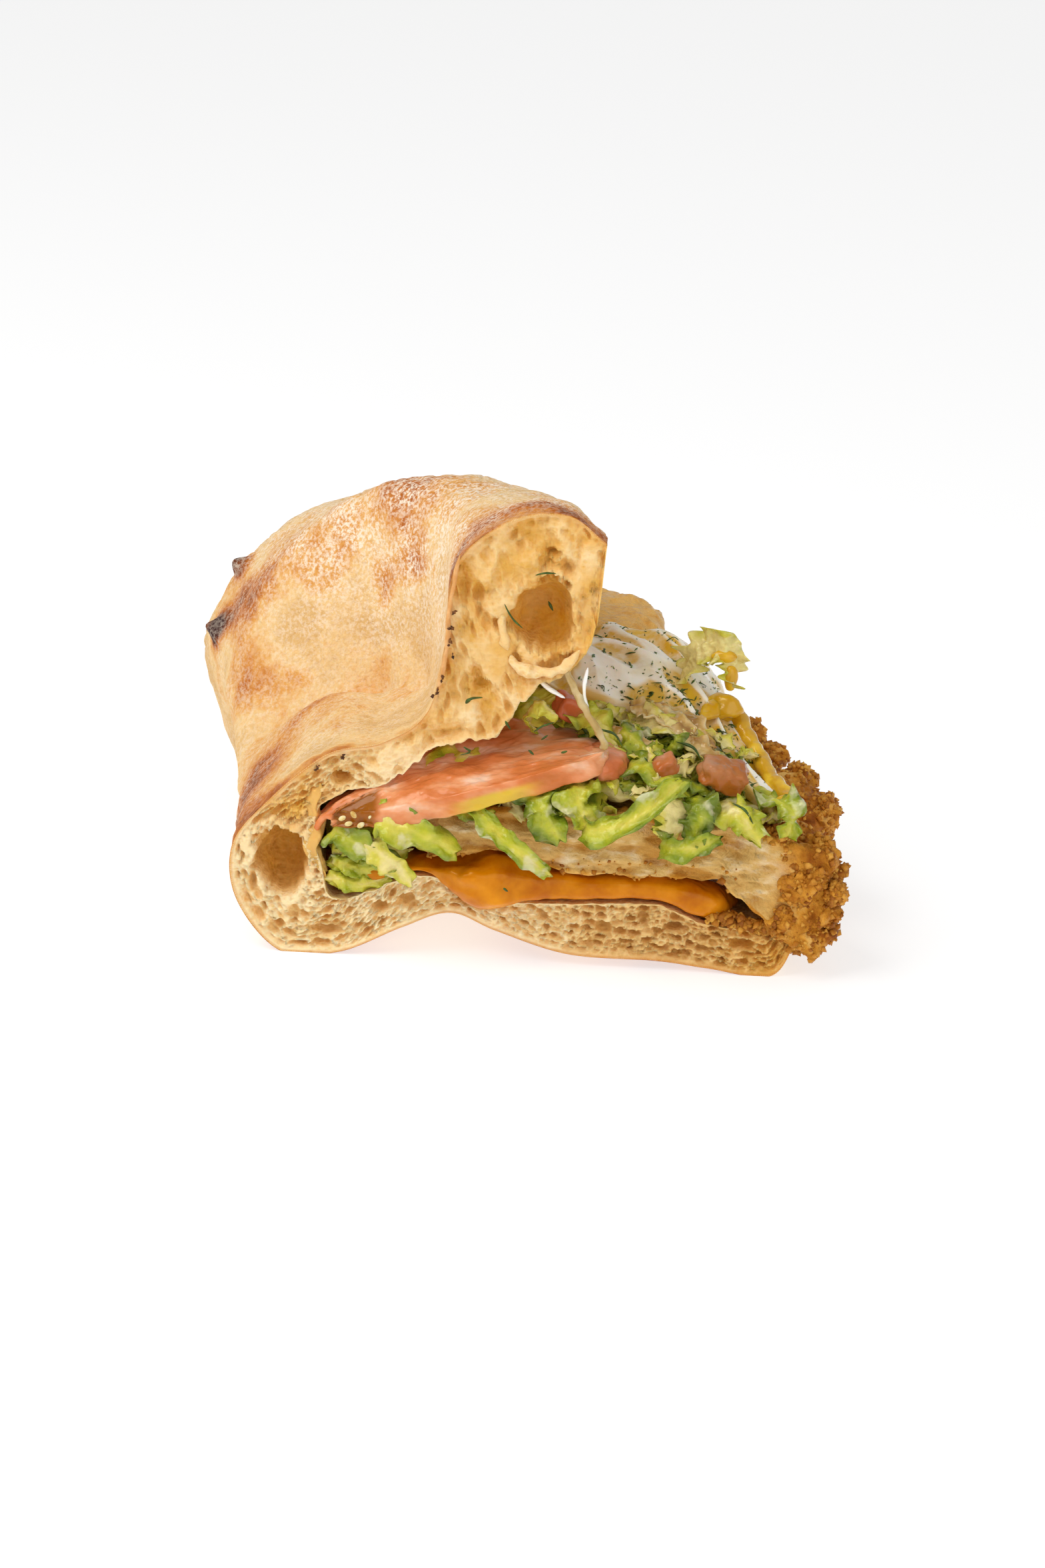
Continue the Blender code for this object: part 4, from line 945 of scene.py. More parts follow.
HERB_PLAN = ((3, 33), (14, 25), (26, 23), (35, 24), (41, 18), (47, 12), (52, 7), (58, 3), (62, 6), (60, 16),
             (53, 28), (48, 40), (46, 54), (38, 68), (22, 75), (2, 72), (-6, 54))
UPPER_PLAN = ((-6, 66), (12, 62), (27, 68), (33, 80), (28, 93), (12, 101), (-8, 98), (-14, 82))
END_PLAN = ((12, 3), (17, -3), (22, -1), (24, 5), (21, 11), (15, 11))
TOMATO_THICK = 5.0

# Shreds that show: path, width, direction of the width, ruffle, waves, tone from pale to deep green
SHREDS = (
    (((-38, 5, 27), (-42, -1, 31), (-35, -4, 28), (-27, -4, 24)), 7.0, (0.2, 0.2, 1), 1.0, 1.5, 0.72),
    (((-30, 5, 25), (-34, -3, 29), (-29, -6, 26), (-24, -6, 21)), 6.5, (1, 0, 0.9), 0.4, 1.0, 0.28),
    (((-26, 5, 30), (-32, -4, 36), (-24, -8, 34), (-14, -7, 29)), 8.0, (0, 0.4, 1), 2.0, 2.0, 0.55),
    (((-8, 5, 41), (-10, -4, 40), (-6, -8, 35.5), (-1, -10, 31.5), (7, -9, 26)),
     5.2, (1, 0.3, 0.6), 0.8, 1.5, 0.6),
    (((3, 5, 42), (2, -4, 44), (5, -8, 40), (9, -9, 34)), 9.0, (1, 0.2, 0.2), 1.8, 2.0, 0.75),
    (((12, 5, 43), (12, -4, 46), (13, -8, 42), (17, -8, 36)), 8.5, (1, 0.3, 0), 1.6, 1.5, 0.5),
    (((20, 5, 42), (15, -8, 37), (25, -12, 41), (36, -9, 50)), 6.0, (0, 0.5, 1), 0.9, 1.5, 0.65),
    (((30, 5, 42), (31, -4, 44), (34, -7, 39), (33, -6, 34)), 8.5, (1, 0.2, 0), 0.7, 1.0, 0.15),
    (((40, 5, 41), (39, -4, 44), (40, -8, 40), (38, -8, 34)), 7.5, (1, -0.2, 0.1), 1.6, 2.0, 0.85),
    (((36, 5, 39), (32, -6, 34), (38, -10, 34), (45, -8, 36)), 5.5, (0, 0.4, 1), 1.2, 2.0, 0.7),
    (((48, 5, 40), (46, -4, 43), (50, -8, 41), (54, -6, 35)), 7.5, (0.8, 0.2, 0.5), 2.2, 2.5, 0.45),
    (((55, 6, 40), (57, 0, 43), (61, -3, 41), (60, -4, 35.5)), 6.5, (0.9, 0.3, 0.2), 1.8, 2.0, 0.6),
    (((20, 6, 43), (26, 1, 49), (33, -2, 47), (38, -1, 43)), 7.0, (0.2, 0.8, 0.5), 1.0, 1.5, 0.7),
    (((18, 13, 50), (23, 9, 53.5), (28, 5, 51), (32, 3, 46.5)), 6.5, (0.6, 0.4, 0.6), 1.2, 2.0, 0.65),
    (((22, 21, 53), (29, 16, 55), (37, 11, 52), (43, 8, 47)), 7.5, (0.3, 0.9, 0.5), 0.8, 1.0, 0.1),
    (((8, 20, 53), (12, 13, 56.5), (18, 9, 54), (22, 6, 49)), 7.0, (0.2, 0.9, 0.4), 1.4, 2.0, 0.5),
    (((2, 12, 53), (0, 6, 58), (3, 4, 61.5), (6.5, 4, 59)), 4.0, (0.2, 1, 0.2), 0.6, 1.0, 0.35),
)
# Shreds that fill the gap at the fold, beside the cheese: path, width, tone
GAP_SHREDS = (
    (((-44, 2, 17.5), (-40, 0.2, 18.4), (-35, 0, 17.4), (-29, 1, 19.6)), 4.4, 0.4),
    (((-43.5, 3, 21), (-39, 0.6, 22), (-33, 0.4, 20.5), (-27, 1.5, 21.5)), 4.2, 0.6),
    (((-42, 3, 25.5), (-38, 0.6, 27), (-32, 0.5, 25), (-25, 1.5, 26)), 5.0, 0.45),
)
# The leaf tip: path, width, direction of the width
LEAF_TIP = (((36, 37, 58.5), (39, 33.5, 66), (43, 31.5, 69), (46.3, 30.5, 66), (46.8, 30.5, 60.5)),
            8.0, (0.1, 0.3, 1))
CURRY_PATH = ((40, 24, 53.4), (44, 31, 53.4), (48.3, 34, 51), (51, 30, 48.2), (54.5, 23, 44.8),
              (57.5, 14, 42.2), (61, 6, 40.4), (61.5, -1, 38.8))
CURRY_RADII = (1.3, 2.3, 2.4, 2.0, 1.7, 1.9, 2.1, 1.2)
# Drops of curry sauce and lumps of the cutlet's coat: middle and half-sizes
DROPS = ((45.5, 31.5, 54, 4.2, 3.6, 2.8), (60.5, 4, 40.5, 2.8, 3.2, 2.4))
CRAGS = (
    (65, 0, 10, 4.2, 3.6, 3.8), (70, 2, 16, 4, 4.5, 4), (70, 5, 24, 4.4, 5, 3.6), (68.5, 3, 31, 4, 4, 3.4),
    (61, -1, 14, 3.6, 3.4, 3.8), (71, 33, 28.5, 3.8, 6, 3.2), (71.5, 42, 27, 3.4, 4.5, 3.2),
    (66, 51, 30, 4, 4.5, 3.4), (60, 63, 31.5, 3.6, 5, 3.2), (55, 74, 33, 3.8, 5, 3.2),
    (64, 14, 20, 6, 5, 6), (64, -2, 24, 4.6, 3.2, 4.6), (58, 1, 33, 4, 3.5, 3.2),
    (72, -0.5, 21, 2.6, 2.8, 2.4),
)
# The onion strand, and the shreds of onion that sauce soaked: path and width
STRAND_PATH = ((7.5, 1.5, 72.5), (10.5, 0.0, 67.0), (13.5, -1.5, 62.0), (17.0, -2.0, 56.5),
               (18, -1.5, 53.4))
SOAKED_SHREDS = (
    (((24, 21, 56), (31, 17, 55.5), (38, 13, 52.5)), 6.0),
    (((30, 22, 56.5), (37, 18, 55), (43, 12, 50.5)), 5.0),
    (((20, 12, 54), (26, 9, 53), (31, 8, 50.5)), 4.5),
    (((36, 12, 53), (41, 10, 51), (44, 6, 48)), 4.5),
)
# Threads of white sauce: path and radii
SAUCE_THREADS = (
    (((2.2, 1.6, 68.4), (4.6, 1.2, 66.4), (8.5, 0.6, 64.4)), (0.3, 0.5, 0.3)),
    (((13.2, 0.5, 72), (12.6, -0.3, 67), (13.6, -1, 62.5)), (0.25, 0.45, 0.3, 0.5)),
)
# Smears of curry sauce on the leaf tip: middle and half-sizes
TIP_SMEARS = (((46.8, 29.9, 61.6), (1.5, 1.2, 2.8)), ((44.8, 30.2, 66.6), (2.6, 1.2, 1.5)))
# Dice of tomato: node, middle, size, turn about X, Y and Z, and the tones for jelly and skin
DICE = (
    ("tomato_dice_1", (45, 0.5, 48.4), (10.5, 7.5, 6.4), (12, 18, 14), 0.75, 0.0),
    ("tomato_dice_2", (32, 0.0, 50.0), (5.2, 4.6, 4.0), (20, -30, 10), 0.6, 0.2),
    ("tomato_dice_3", (10, 14.5, 57.6), (8.0, 5.8, 5.2), (10, 25, 30), 0.5, 0.7),
)
# Seeds in the tomato's chamber: x, z
SEEDS = ((-40.0, 35.6), (-37.5, 36.4), (-35.8, 33.8), (-33.5, 35.8), (-38.6, 33.6))

# Torn strips of crumb below the lid's large pocket: path and radius
TORN_STRIPS = (
    (((-4.2, 0.4, 74), (-2.7, -0.4, 71.7), (1.1, -0.6, 70.6), (5.5, -0.6, 71), (8.8, -0.4, 72.8),
      (11.2, 0.2, 76)), 1.7),
    (((-6.5, 1, 84), (-6.2, 0.2, 79), (-4.8, 0.2, 75)), 1.4),
)
# The thin smear of flour and sauce down the lid's left edge, and the charred bits on it
SMEAR = ((-16.4, -0.4, 96.9), (-17.1, -0.5, 92.5), (-17.8, -0.6, 87.9), (-18.2, -0.6, 83.2),
         (-18.3, -0.6, 78.6), (-18.6, -0.6, 73.1), (-19.3, -0.5, 68.4), (-20.2, -0.4, 64.0))
CHARRED = ((-17, -1.2, 83.1), (-17.4, -1.2, 76.4), (-16.9, -1.2, 74.4), (-19, -1.2, 68.1),
           (-20.3, -1.1, 64.2), (-17.6, -1.1, 80.4), (-40.6, -0.6, 48.6), (-46.5, -0.6, 45.4))
# Sprigs of dill that lie singly on the crumb, the tomato and the lettuce
SPRIGS = (
    ((-6.1, -1.2, 86.3), (-4.3, -1.6, 83.3), (-1.7, -1.2, 80.7)),
    ((0.4, -1, 93.1), (2.6, -1.6, 94), (5, -1, 93.8)),
    ((3.6, 7, 84.9), (4.8, 7, 82.6)), ((-13.6, -1, 62.4), (-12.4, -1.2, 63.8), (-9.8, -1, 64.1)),
    ((-4.6, -1, 58.9), (-3.3, -1.2, 56.9)), ((-13.6, -6.9, 54.3), (-12.1, -7.2, 53.3), (-14.3, -7.2, 52.4)),
    ((1.8, -3, 57.3), (4.0, -3.4, 59), (6.5, -3, 59.9)), ((3.6, -3, 55.5), (5.1, -3.2, 56.8)),
    ((8.2, -6, 53.7), (9.6, -6.3, 54.4)), ((0.9, -7, 54.4), (2.2, -7.2, 53.4)),
    ((-3.1, -7, 21.1), (-2.0, -7, 20.3)),
    ((16, 4, 56.5), (20, 2, 56), (22, 1, 53.6)), ((27, 2, 51), (29, 1, 49), (30, 0, 46.5)),
    ((47, -6, 44), (50, -7.5, 43), (52, -8, 40)), ((34, 8, 53), (38, 6, 52.5), (40, 5, 50)),
)


def cutlet_skins():
    """The cutlet: a slab roughened along its normals, with a crag at each of the solid's crags."""
    rings, a, b, cut = slab(CUTLET_PLAN, cutlet_top, cutlet_bottom, 460, 40, 40, -0.5, 9.0)
    x, y = rings[..., 0], rings[..., 1]
    depth_in = 0.5 * (cutlet_top(x, y) - cutlet_bottom(x, y)) * (1 - np.abs(b))
    open_side = smoothstep((x - 54) / 10)
    edge_wobble = 0.5 * fractal(rings, 4.0, 2, 2)
    meat = cut * smoothstep((depth_in - 0.5 + edge_wobble) / 0.7) * (1 - open_side)
    amount = (1 - meat) * 0.95 * fractal(rings, 3.4, 4, 3) + open_side * 1.3 * fractal(rings, 3.6, 3, 9)
    # torn meat: long shreds along the slice that stand out of the cut or fall back behind it
    shreds = fractal(rings * (0.55, 1, 1.25), 3.4, 4, 6)
    amount = amount + meat * (1.8 * shreds - 0.3)
    rings = raised(rings, amount * (1 - 0.4 * (a < 0.7)))
    rings[..., 1] = np.maximum(rings[..., 1], -5.0)
    toasted = np.clip(0.12 + 0.4 * smoothstep((x - 60) / 8) + 0.32 * fractal(rings, 7.0, 3, 5), 0, 1)
    # the meat is soaked golden in patches, least at its right end, and painted darker in the gaps where the
    # shreds fall back: painted shade
    band = smoothstep((x - 40) / 8) * smoothstep((63 - x) / 6)
    golden = 0.9 * cut * smoothstep(0.9 * fractal(rings, 6.0, 2, 8) - 1.1 * shreds + 0.15 - 0.35 * band)
    skins = [skin(rings, np.clip(1 - meat, 0, 1), toasted, golden)]
    for i, (cx, cy, cz, *half) in enumerate(CRAGS):
        skins.append(lump((cx, cy, cz), np.array(half) * 0.86, 0.5, i + 1, 34, 48, size=1.9,
                          tones=(1.0, 0.28 + 0.4 * ((i * 7) % 5) / 5, 0.0)))
    return skins


def crumb_places(skins, count, seed, keep):
    """Points picked at random from the skins' own points where keep says so."""
    points, _, tone = joined(skins)
    kept = points[keep(points, tone)]
    return kept[np.random.default_rng(seed).integers(0, len(kept), count)]


def on_crumb(triangles, tone):
    """True for the roll's faces that are crumb, which take its second material."""
    return tone[triangles, 3].mean(axis=1) > 0.5


def on_loose_coat(points, tone):
    """True for the points of the coat at the cutlet's open side."""
    return (tone[:, 0] > 0.6) & (points[:, 0] > 44) & (points[:, 2] > 4)


def on_low_cut(points, _):
    """True for the points low on the cutlet's cut."""
    return (points[:, 1] < 0) & (points[:, 0] < 50) & (points[:, 2] < 27)


def on_sauce_top(points, _):
    """True for the points on the upper side of the herb sauce."""
    return points[:, 2] > heap_top(points[:, 0], points[:, 1]) - 1.0


def herb_skin():
    """The herb sauce: a blanket over the heap, folded by noise drawn out down its slope, streaked yellow."""
    rings, a, b, _ = slab(HERB_PLAN, heap_top, lambda x, y: heap_top(x, y) - 3.2, 300, 90, 8)
    across = 0.8 * rings[..., 0] + 0.6 * rings[..., 1]
    along = 0.6 * rings[..., 0] - 0.8 * rings[..., 1]
    bend = 3.0 * noise(rings / 14.0, 53)
    flow = stacked((across + bend) / 6.0, along / 22.0, 0.0)
    fold = 1 - 2.2 * np.abs(noise(flow, 51))
    small = fractal(stacked(across, along / 3.0, 0.0), 2.6, 2, 52)
    upper = smoothstep((b + 0.2) * 4) * smoothstep((1.02 - a) * 12)
    rings[..., 2] += upper * (1.9 * fold + 0.3 * small)
    streak = smoothstep(1.5 - 2.2 * smoothstep(fold + 0.1) + 1.1 * noise(flow * (0.7, 1.6, 1), 61))
    yellow = np.clip(1.6 * streak + 0.9 * smoothstep((a - 0.82) / 0.14), 0, 1)
    grey = smoothstep(1.6 * noise(rings * 0.3, 62) - 0.2)
    return skin(rings, yellow, grey, 0.0)


def sprig(path, thick, seed=0):
    """One thread of dill: a flattened strand, thin at both ends."""
    return rope(path, (0.4 * thick, thick, 0.8 * thick, 0.3 * thick), 8, 16, 0.6, seed, 0.45)


def strewn_shreds(rng, count):
    """Short shreds over the heap's front slope and open side, each along its own bent path."""
    skins = []
    for i in range(count):
        x, y = rng.uniform(-12, 58), rng.uniform(-3, 21)
        if y > 3.0 and x < 13:
            x = rng.uniform(13, 44)
        top = float(heap_top(np.array(x), np.array(max(y, 5.0))))
        if y > 3.0:
            z = top + rng.uniform(-1.6, 0.6)
        else:
            z = rng.uniform(37, 40.5 if x < 16 else max(40.0, top - 1))
        way = rng.normal(size=3) * (1, 0.4, 0.45)
        way = way / np.linalg.norm(way) * rng.uniform(2.5, 6.5)
        at, bend = np.array((x, y, z)), rng.normal(size=3) * 1.3
        skins.append(leaf((at - way, at + bend, at + way), rng.uniform(1.8, 5.0), rng.normal(size=3), 0.7,
                          rng.uniform(0.8, 2.5), seed=i, steps=20, across=7, tone=rng.uniform(0.0, 0.95)))
    return skins


class SandwichSizes(bpy.types.PropertyGroup):
    """Sizes of the bread's grain and pores."""

    columns: bpy.props.IntProperty(name="Columns", description="Points round the section", default=620)
    rows: bpy.props.IntProperty(name="Rows", description="Points through the thickness at the cut",
                                default=44)
    pore_size: bpy.props.FloatProperty(name="Pore size", description="Width that the pores are scaled from",
                                       default=0.001, subtype="DISTANCE", unit="LENGTH")
    grain_size: bpy.props.FloatProperty(name="Grain height", description="Height of the floury grain",
                                        default=0.0008, subtype="DISTANCE", unit="LENGTH")


def food_colour(name, code, description):
    """A colour setting of the panel, given as an sRGB hex code."""
    return bpy.props.FloatVectorProperty(name=name, description=description, default=linear(code), size=3,
                                         min=0.0, max=1.0, subtype="COLOR")


class SandwichColours(bpy.types.PropertyGroup):
    """Main colours of the bread, the filling and the sauces."""

    crust_pale: food_colour("Pale crust", "#DEB272", "Crust that the oven hardly browned")
    crust_brown: food_colour("Browned crust", "#D48C42", "Crust on the crests and round the fold")
    flour: food_colour("Flour", "#FCEAD2", "Flour that the roll was dusted with")
    crumb: food_colour("Crumb", "#FBE2B2", "Walls of the crumb")
    fried_coat: food_colour("Fried coat", "#B9741E", "Breadcrumb coat of the cutlet")
    meat: food_colour("Meat", "#E2B870", "Cut face of the cutlet")
    cheese: food_colour("Cheese", "#D07A02", "Melted cheese")
    tomato: food_colour("Tomato", "#DA8048", "Cut flesh of the tomato")
    lettuce: food_colour("Lettuce", "#B8B82C", "Leaf between the pale ribs and the deep green")
    white_sauce: food_colour("White sauce", "#FEF6E4", "Herb sauce")
    yellow_sauce: food_colour("Curry sauce", "#F0C634", "Yellow curry sauce")


class SandwichStage(bpy.types.PropertyGroup):
    """The view of the photograph and its light."""

    distance: bpy.props.FloatProperty(name="Distance", description="From the lens to the sandwich",
                                      default=0.85, subtype="DISTANCE", unit="LENGTH")
    elevation: bpy.props.FloatProperty(name="Elevation", description="Angle of the view above the horizon",
                                       default=math.radians(20.0), subtype="ANGLE", unit="ROTATION")
    roll: bpy.props.FloatProperty(name="Roll", description="Turn of the picture about the view",
                                  default=math.radians(3.02), subtype="ANGLE", unit="ROTATION")
    target_height: bpy.props.FloatProperty(name="Target height", default=0.043737,
                                           description="Height that the view is aimed at",
                                           subtype="DISTANCE", unit="LENGTH")
    lens: bpy.props.FloatProperty(name="Lens", description="Focal length in millimetres", default=86.7)
    key: bpy.props.FloatProperty(name="Key light", description="Power of the large soft light", default=5.8)
    fill: bpy.props.FloatProperty(name="Fill light", description="Power of the light beside the lens",
                                  default=2.9)
    sky: bpy.props.FloatProperty(name="White room", description="Strength of the white surroundings",
                                 default=0.48)
    floor_glow: bpy.props.FloatProperty(name="White surface", default=0.63,
                                        description="How much the lit paper adds of its own")


class SANDWICH_OT_roll(bpy.types.Operator):
    """Builds the folded roll with its floured crust and the open crumb of the cut"""

    bl_idname = "sandwich.roll"
    bl_label = "Folded roll"

    def execute(self, context):
        sizes, colours = context.scene.sandwich_sizes, context.scene.sandwich_colours
        crumb = crumb_material(colours)
        crust = crust_material(sizes, colours)
        piece("folded_roll", [roll_surface(sizes)], [crust, crumb], ["bread"], on_crumb)
        strips = []
        for i, (path, radius) in enumerate(TORN_STRIPS):
            radii = np.array((0.4, 1.0, 0.8, 1.0, 0.4)) * radius
            strips.append(rope(path, radii, 14, 70, 0.45, i, 0.8, (0.12, 0.0, 0.25)))
        piece("torn_crumb_strips", strips, [crumb])
        smear = rope(SMEAR, (0.2, 0.5, 0.35, 0.6, 0.4, 0.5, 0.2), 10, 90, 0.6, 5)
        damp = plain_food("damp_flour_and_sauce", "#D89A58", "#E6B074", "#F0CCA4", 0.6, 1.5)
        piece("flour_smear", [smear], [damp])
        rng = np.random.default_rng(31)
        places = np.repeat(np.array(CHARRED, float), 3, axis=0)
        places = places + rng.normal(0, (0.35, 0.1, 0.8), places.shape)
        bits = chips(places, rng.uniform(0.4, 0.95, len(places)), 32, (1, 0.5, 0.8))
        burnt = plain_food("charred_crust", "#2E1A14", "#4A2A1A", "#7A4A24", 0.7, 1.0)
        piece("charred_crust_bits", [bits], [burnt])
        return {"FINISHED"}


class SANDWICH_OT_cutlet(bpy.types.Operator):
    """Builds the crumbed cutlet with its loose crumbs, and the glazed bit under the lid"""

    bl_idname = "sandwich.cutlet"
    bl_label = "Crumbed cutlet"

    def execute(self, context):
        colours = context.scene.sandwich_colours
        skins = cutlet_skins()
        coat = coat_material("fried_breadcrumb_coat", colours)
        piece("crumbed_cutlet", skins, [coat], ["cutlet"])
        places = crumb_places(skins, 5200, 4, on_loose_coat)
        sizes = np.random.default_rng(5).uniform(0.3, 1.0, len(places)) ** 1.4 * 1.25
        low = crumb_places(skins, 70, 14, on_low_cut)
        rng = np.random.default_rng(15)
        # crumbs that fell into the gap between the slice and the cutlet's right end
        share = rng.uniform(0, 1, (220, 1))
        fallen = np.array((44.5, 0.2, 14.0)) * (1 - share) + np.array((60.0, 0.6, 11.4)) * share
        fallen = fallen + rng.normal(0, (0.5, 0.7, 0.6), fallen.shape)
        crumbs = [chips(places, sizes, 6), chips(low, rng.uniform(0.2, 0.9, len(low)), 7),
                  chips(fallen, rng.uniform(0.5, 1.5, len(fallen)), 8)]
        loose = plain_food("loose_fried_crumbs", "#94541A", colours.fried_coat, "#DCA042", 0.55, 2.5,
                           coat=0.0)
        piece("fried_crumbs", crumbs, [loose])
        rings = slab(UPPER_PLAN, lambda x, y: np.minimum(62.0, inner_height(x, y, True) - 1.2),
                     lambda x, y: 49.5 + 0 * x, 150, 26, 12)[0]
        rings = raised(rings, 0.9 * fractal(rings, 4.0, 4, 14))
        glazed = coat_material("glazed_breadcrumb_coat", colours, 1.0)
        piece("glazed_cutlet_bit", [skin(rings, 1.0, 0.0, 0.15)], [glazed], ["cutlet_upper"])
        return {"FINISHED"}


class SANDWICH_OT_cheese(bpy.types.Operator):
    """Builds the melted cheese with the lip that hangs out of the cut and the film on the fold's wall"""

    bl_idname = "sandwich.cheese"
    bl_label = "Melted cheese"

    def execute(self, context):
        rings = slab(CHEESE_PLAN, cheese_top, cheese_bottom, 380, 26, 18, None, 3.6)[0]
        rings = raised(rings, 1.1 * fractal(rings * (0.6, 1, 1), 6.5, 3, 33))
        # the film is pale all over
        points, triangles, tone = leaf(
            ((-45.5, 2, 40), (-47, 1.4, 35), (-45.6, 1, 30), (-46.4, 1.2, 25), (-44, 1.6, 19)), 4.0,
            (1, 0.3, 0), ruffle=0.5, waves=1.6, thick=2.2, seed=2, tone=0.0)
        film = points, triangles, np.broadcast_to((1.0, 0.0, 0.0, 0.0), tone.shape)
        cheese = cheese_material(context.scene.sandwich_colours)
        piece("melted_cheese", [skin(rings, 0.0), film], [cheese], ["cheese"])
        return {"FINISHED"}


class SANDWICH_OT_tomato(bpy.types.Operator):
    """Builds the tomato slice with its seed chamber, the end piece and the dice"""

    bl_idname = "sandwich.tomato"
    bl_label = "Tomato"

    def execute(self, context):
        flesh = tomato_material(context.scene.sandwich_colours)
        rings, _, b, cut = slab(TOMATO_PLAN, tomato_top, lambda x, y: tomato_top(x, y) - TOMATO_THICK,
                                300, 30, 16, -3.0, 3.0)
        x, y = rings[..., 0], rings[..., 1]
        jelly = smoothstep((-31 - x) / 3) * smoothstep((x + 45) / 3) * (cut > 0.2)
        rings = raised(rings, 0.65 * fractal(rings * (0.6, 1, 1), 4.0, 4, 71) - 0.8 * jelly)
        core = np.exp(-((x + 6.0) / 8.5) ** 4) * smoothstep((0.55 - b) * 1.8) * smoothstep((-3.0 - y) / 1.5)
        piece("tomato_round", [skin(rings, core, jelly, 0.0)], [flesh], ["tomato_slice"])
        rings = slab(END_PLAN, lambda x, y: 52.5 - 0.1 * (x - 17), lambda x, y: 45.0 + 0 * x,
                     90, 16, 8, None, 2.6)[0]
        rings = raised(rings, 0.5 * fractal(rings, 3.0, 3, 72))
        piece("tomato_end_piece", [skin(rings, 0.0, 0.0, 0.45)], [flesh], ["tomato_end"])
        for name, centre, size, turn, brown, red in DICE:
            body = lump(centre, np.array(size) * 0.51, 0.14, int(10 * size[0]), 40, 54, 4.5, turn, 2.2,
                        (0.0, brown, red))
            piece(name + "_cube", [body], [flesh], [name])
        rng = np.random.default_rng(12)
        seeds = []
        for k, (x, z) in enumerate(SEEDS):
            turn = (0, rng.uniform(-60, 60), 0)
            seeds.append(lump((x, -6.3 + 0.5 * k, z), (0.95, 0.45, 0.6), 0.05, k, 8, 10, turn=turn,
                              tones=(0.6,)))
        pale = plain_food("tomato_seed", "#C8A050", "#E6CE8A", "#F2E4B4", 0.3, 1.0)
        piece("tomato_seeds", seeds, [pale])
        return {"FINISHED"}


class SANDWICH_OT_lettuce(bpy.types.Operator):
    """Builds the heap of shredded lettuce over its own core, and the leaf tip that stands out of the sauce"""

    bl_idname = "sandwich.lettuce"
    bl_label = "Shredded lettuce"

    def execute(self, context):
        green = lettuce_material(context.scene.sandwich_colours)
        rings = slab(SALAD_PLAN, core_high, core_low, 240, 40, 16)[0]
        rings = raised(rings, 1.3 * fractal(rings, 3.5, 3, 81))
        skins = [skin(rings, 0.4, 0.45 + 0.4 * noise(rings * 0.3, 82), 0.0)]
        for path, width, tone in GAP_SHREDS:
            skins.append(leaf(path, width, (0.3, 0.3, 1), 1.2, 2.0, seed=width, tone=tone))
        for i, (path, width, hint, ruffle, waves, tone) in enumerate(SHREDS):
            skins.append(leaf(path, width, hint, ruffle, waves, seed=i * 1.7, tone=tone))
        skins += strewn_shreds(np.random.default_rng(23), 80)
        piece("lettuce_heap", skins, [green], ["lettuce"])
        path, width, hint = LEAF_TIP
        tip = leaf(path, width, hint, 2.2, 3.0, 0.8, 0.8, 3, 90, 25, 0.08)
        piece("lettuce_leaf_tip", [tip], [green], ["lettuce_leaf_top"])
        return {"FINISHED"}


class SANDWICH_OT_sauces(bpy.types.Operator):
    """Builds the white herb sauce, the yellow curry sauce, the chopped dill and the onion strand"""

    bl_idname = "sandwich.sauces"
    bl_label = "Sauces, dill and onion"

    def execute(self, context):
        colours = context.scene.sandwich_colours
        white = herb_sauce_material(colours)
        blanket = herb_skin()
        piece("herb_sauce_blanket", [blanket], [white], ["herb_sauce"])
        drips = [rope(path, radii, 8, 40, 0.4, 1 + i) for i, (path, radii) in enumerate(SAUCE_THREADS)]
        piece("herb_sauce_threads", drips, [white])
        yellow = plain_food("yellow_curry_sauce", "#D4A018", colours.yellow_sauce, "#FAE28A",
                            0.16, 4.0, 0.3, 0.4)
        curry = [rope(CURRY_PATH, np.array(CURRY_RADII) * 1.12, 28, 130, 0.22, 3, 0.9)]
        curry += [lump(drop[:3], drop[3:], 0.35, 4 + i, 30, 40, size=3.5) for i, drop in enumerate(DROPS)]
        piece("curry_sauce_ribbon", curry, [yellow], ["curry_sauce"])
        smears = [lump(middle, half, 0.3, 8 + i) for i, (middle, half) in enumerate(TIP_SMEARS)]
        piece("curry_sauce_smears", smears, [yellow])
        onion = plain_food("translucent_onion", "#B89A5C", "#CDB98A", "#E8DCC0", 0.22, 3.0, 0.5, 0.4)
        strand = rope(STRAND_PATH, (0.6, 0.8, 0.9, 1.1), 14, 90, 0.5, 2)
        piece("onion_strands", [strand], [onion], ["onion_strand"])
        soaked = plain_food("sauce_soaked_onion", "#A0743A", "#CCA65E", "#E2C894", 0.18, 3.0, 0.4, 0.6)
        shreds = [leaf(path, width, (0.3, 1, 0.4), 0.7, 1.2, 0.9, seed=i)
                  for i, (path, width) in enumerate(SOAKED_SHREDS)]
        piece("soaked_onion_shreds", shreds, [soaked])
        places = crumb_places([blanket], 520, 8, on_sauce_top)
        rng = np.random.default_rng(9)
        flecks = chips(places + (0, 0, 0.1), rng.uniform(0.25, 0.95, len(places)), 10, (1, 0.35, 0.18))
        threads = [sprig(path, 0.65, i) for i, path in enumerate(SPRIGS)]
        for i, place in enumerate(places[:70]):
            way = rng.normal(size=3) * (1, 1, 0.3)
            way *= rng.uniform(0.8, 2.0) / np.linalg.norm(way)
            middle = place + rng.normal(size=3) * 0.3 + (0, 0, 0.4)
            threads.append(sprig((place - way, middle, place + way), 0.3, i))
        dill = plain_food("chopped_dill_leaf", "#2C4A1C", "#446628", "#6A883C", 0.45, 1.0)
        piece("chopped_dill", [flecks, *threads], [dill])
        return {"FINISHED"}


LIGHT_TARGET = (0.0, -0.03, 0.05)   # the place in metres that both lights shine at


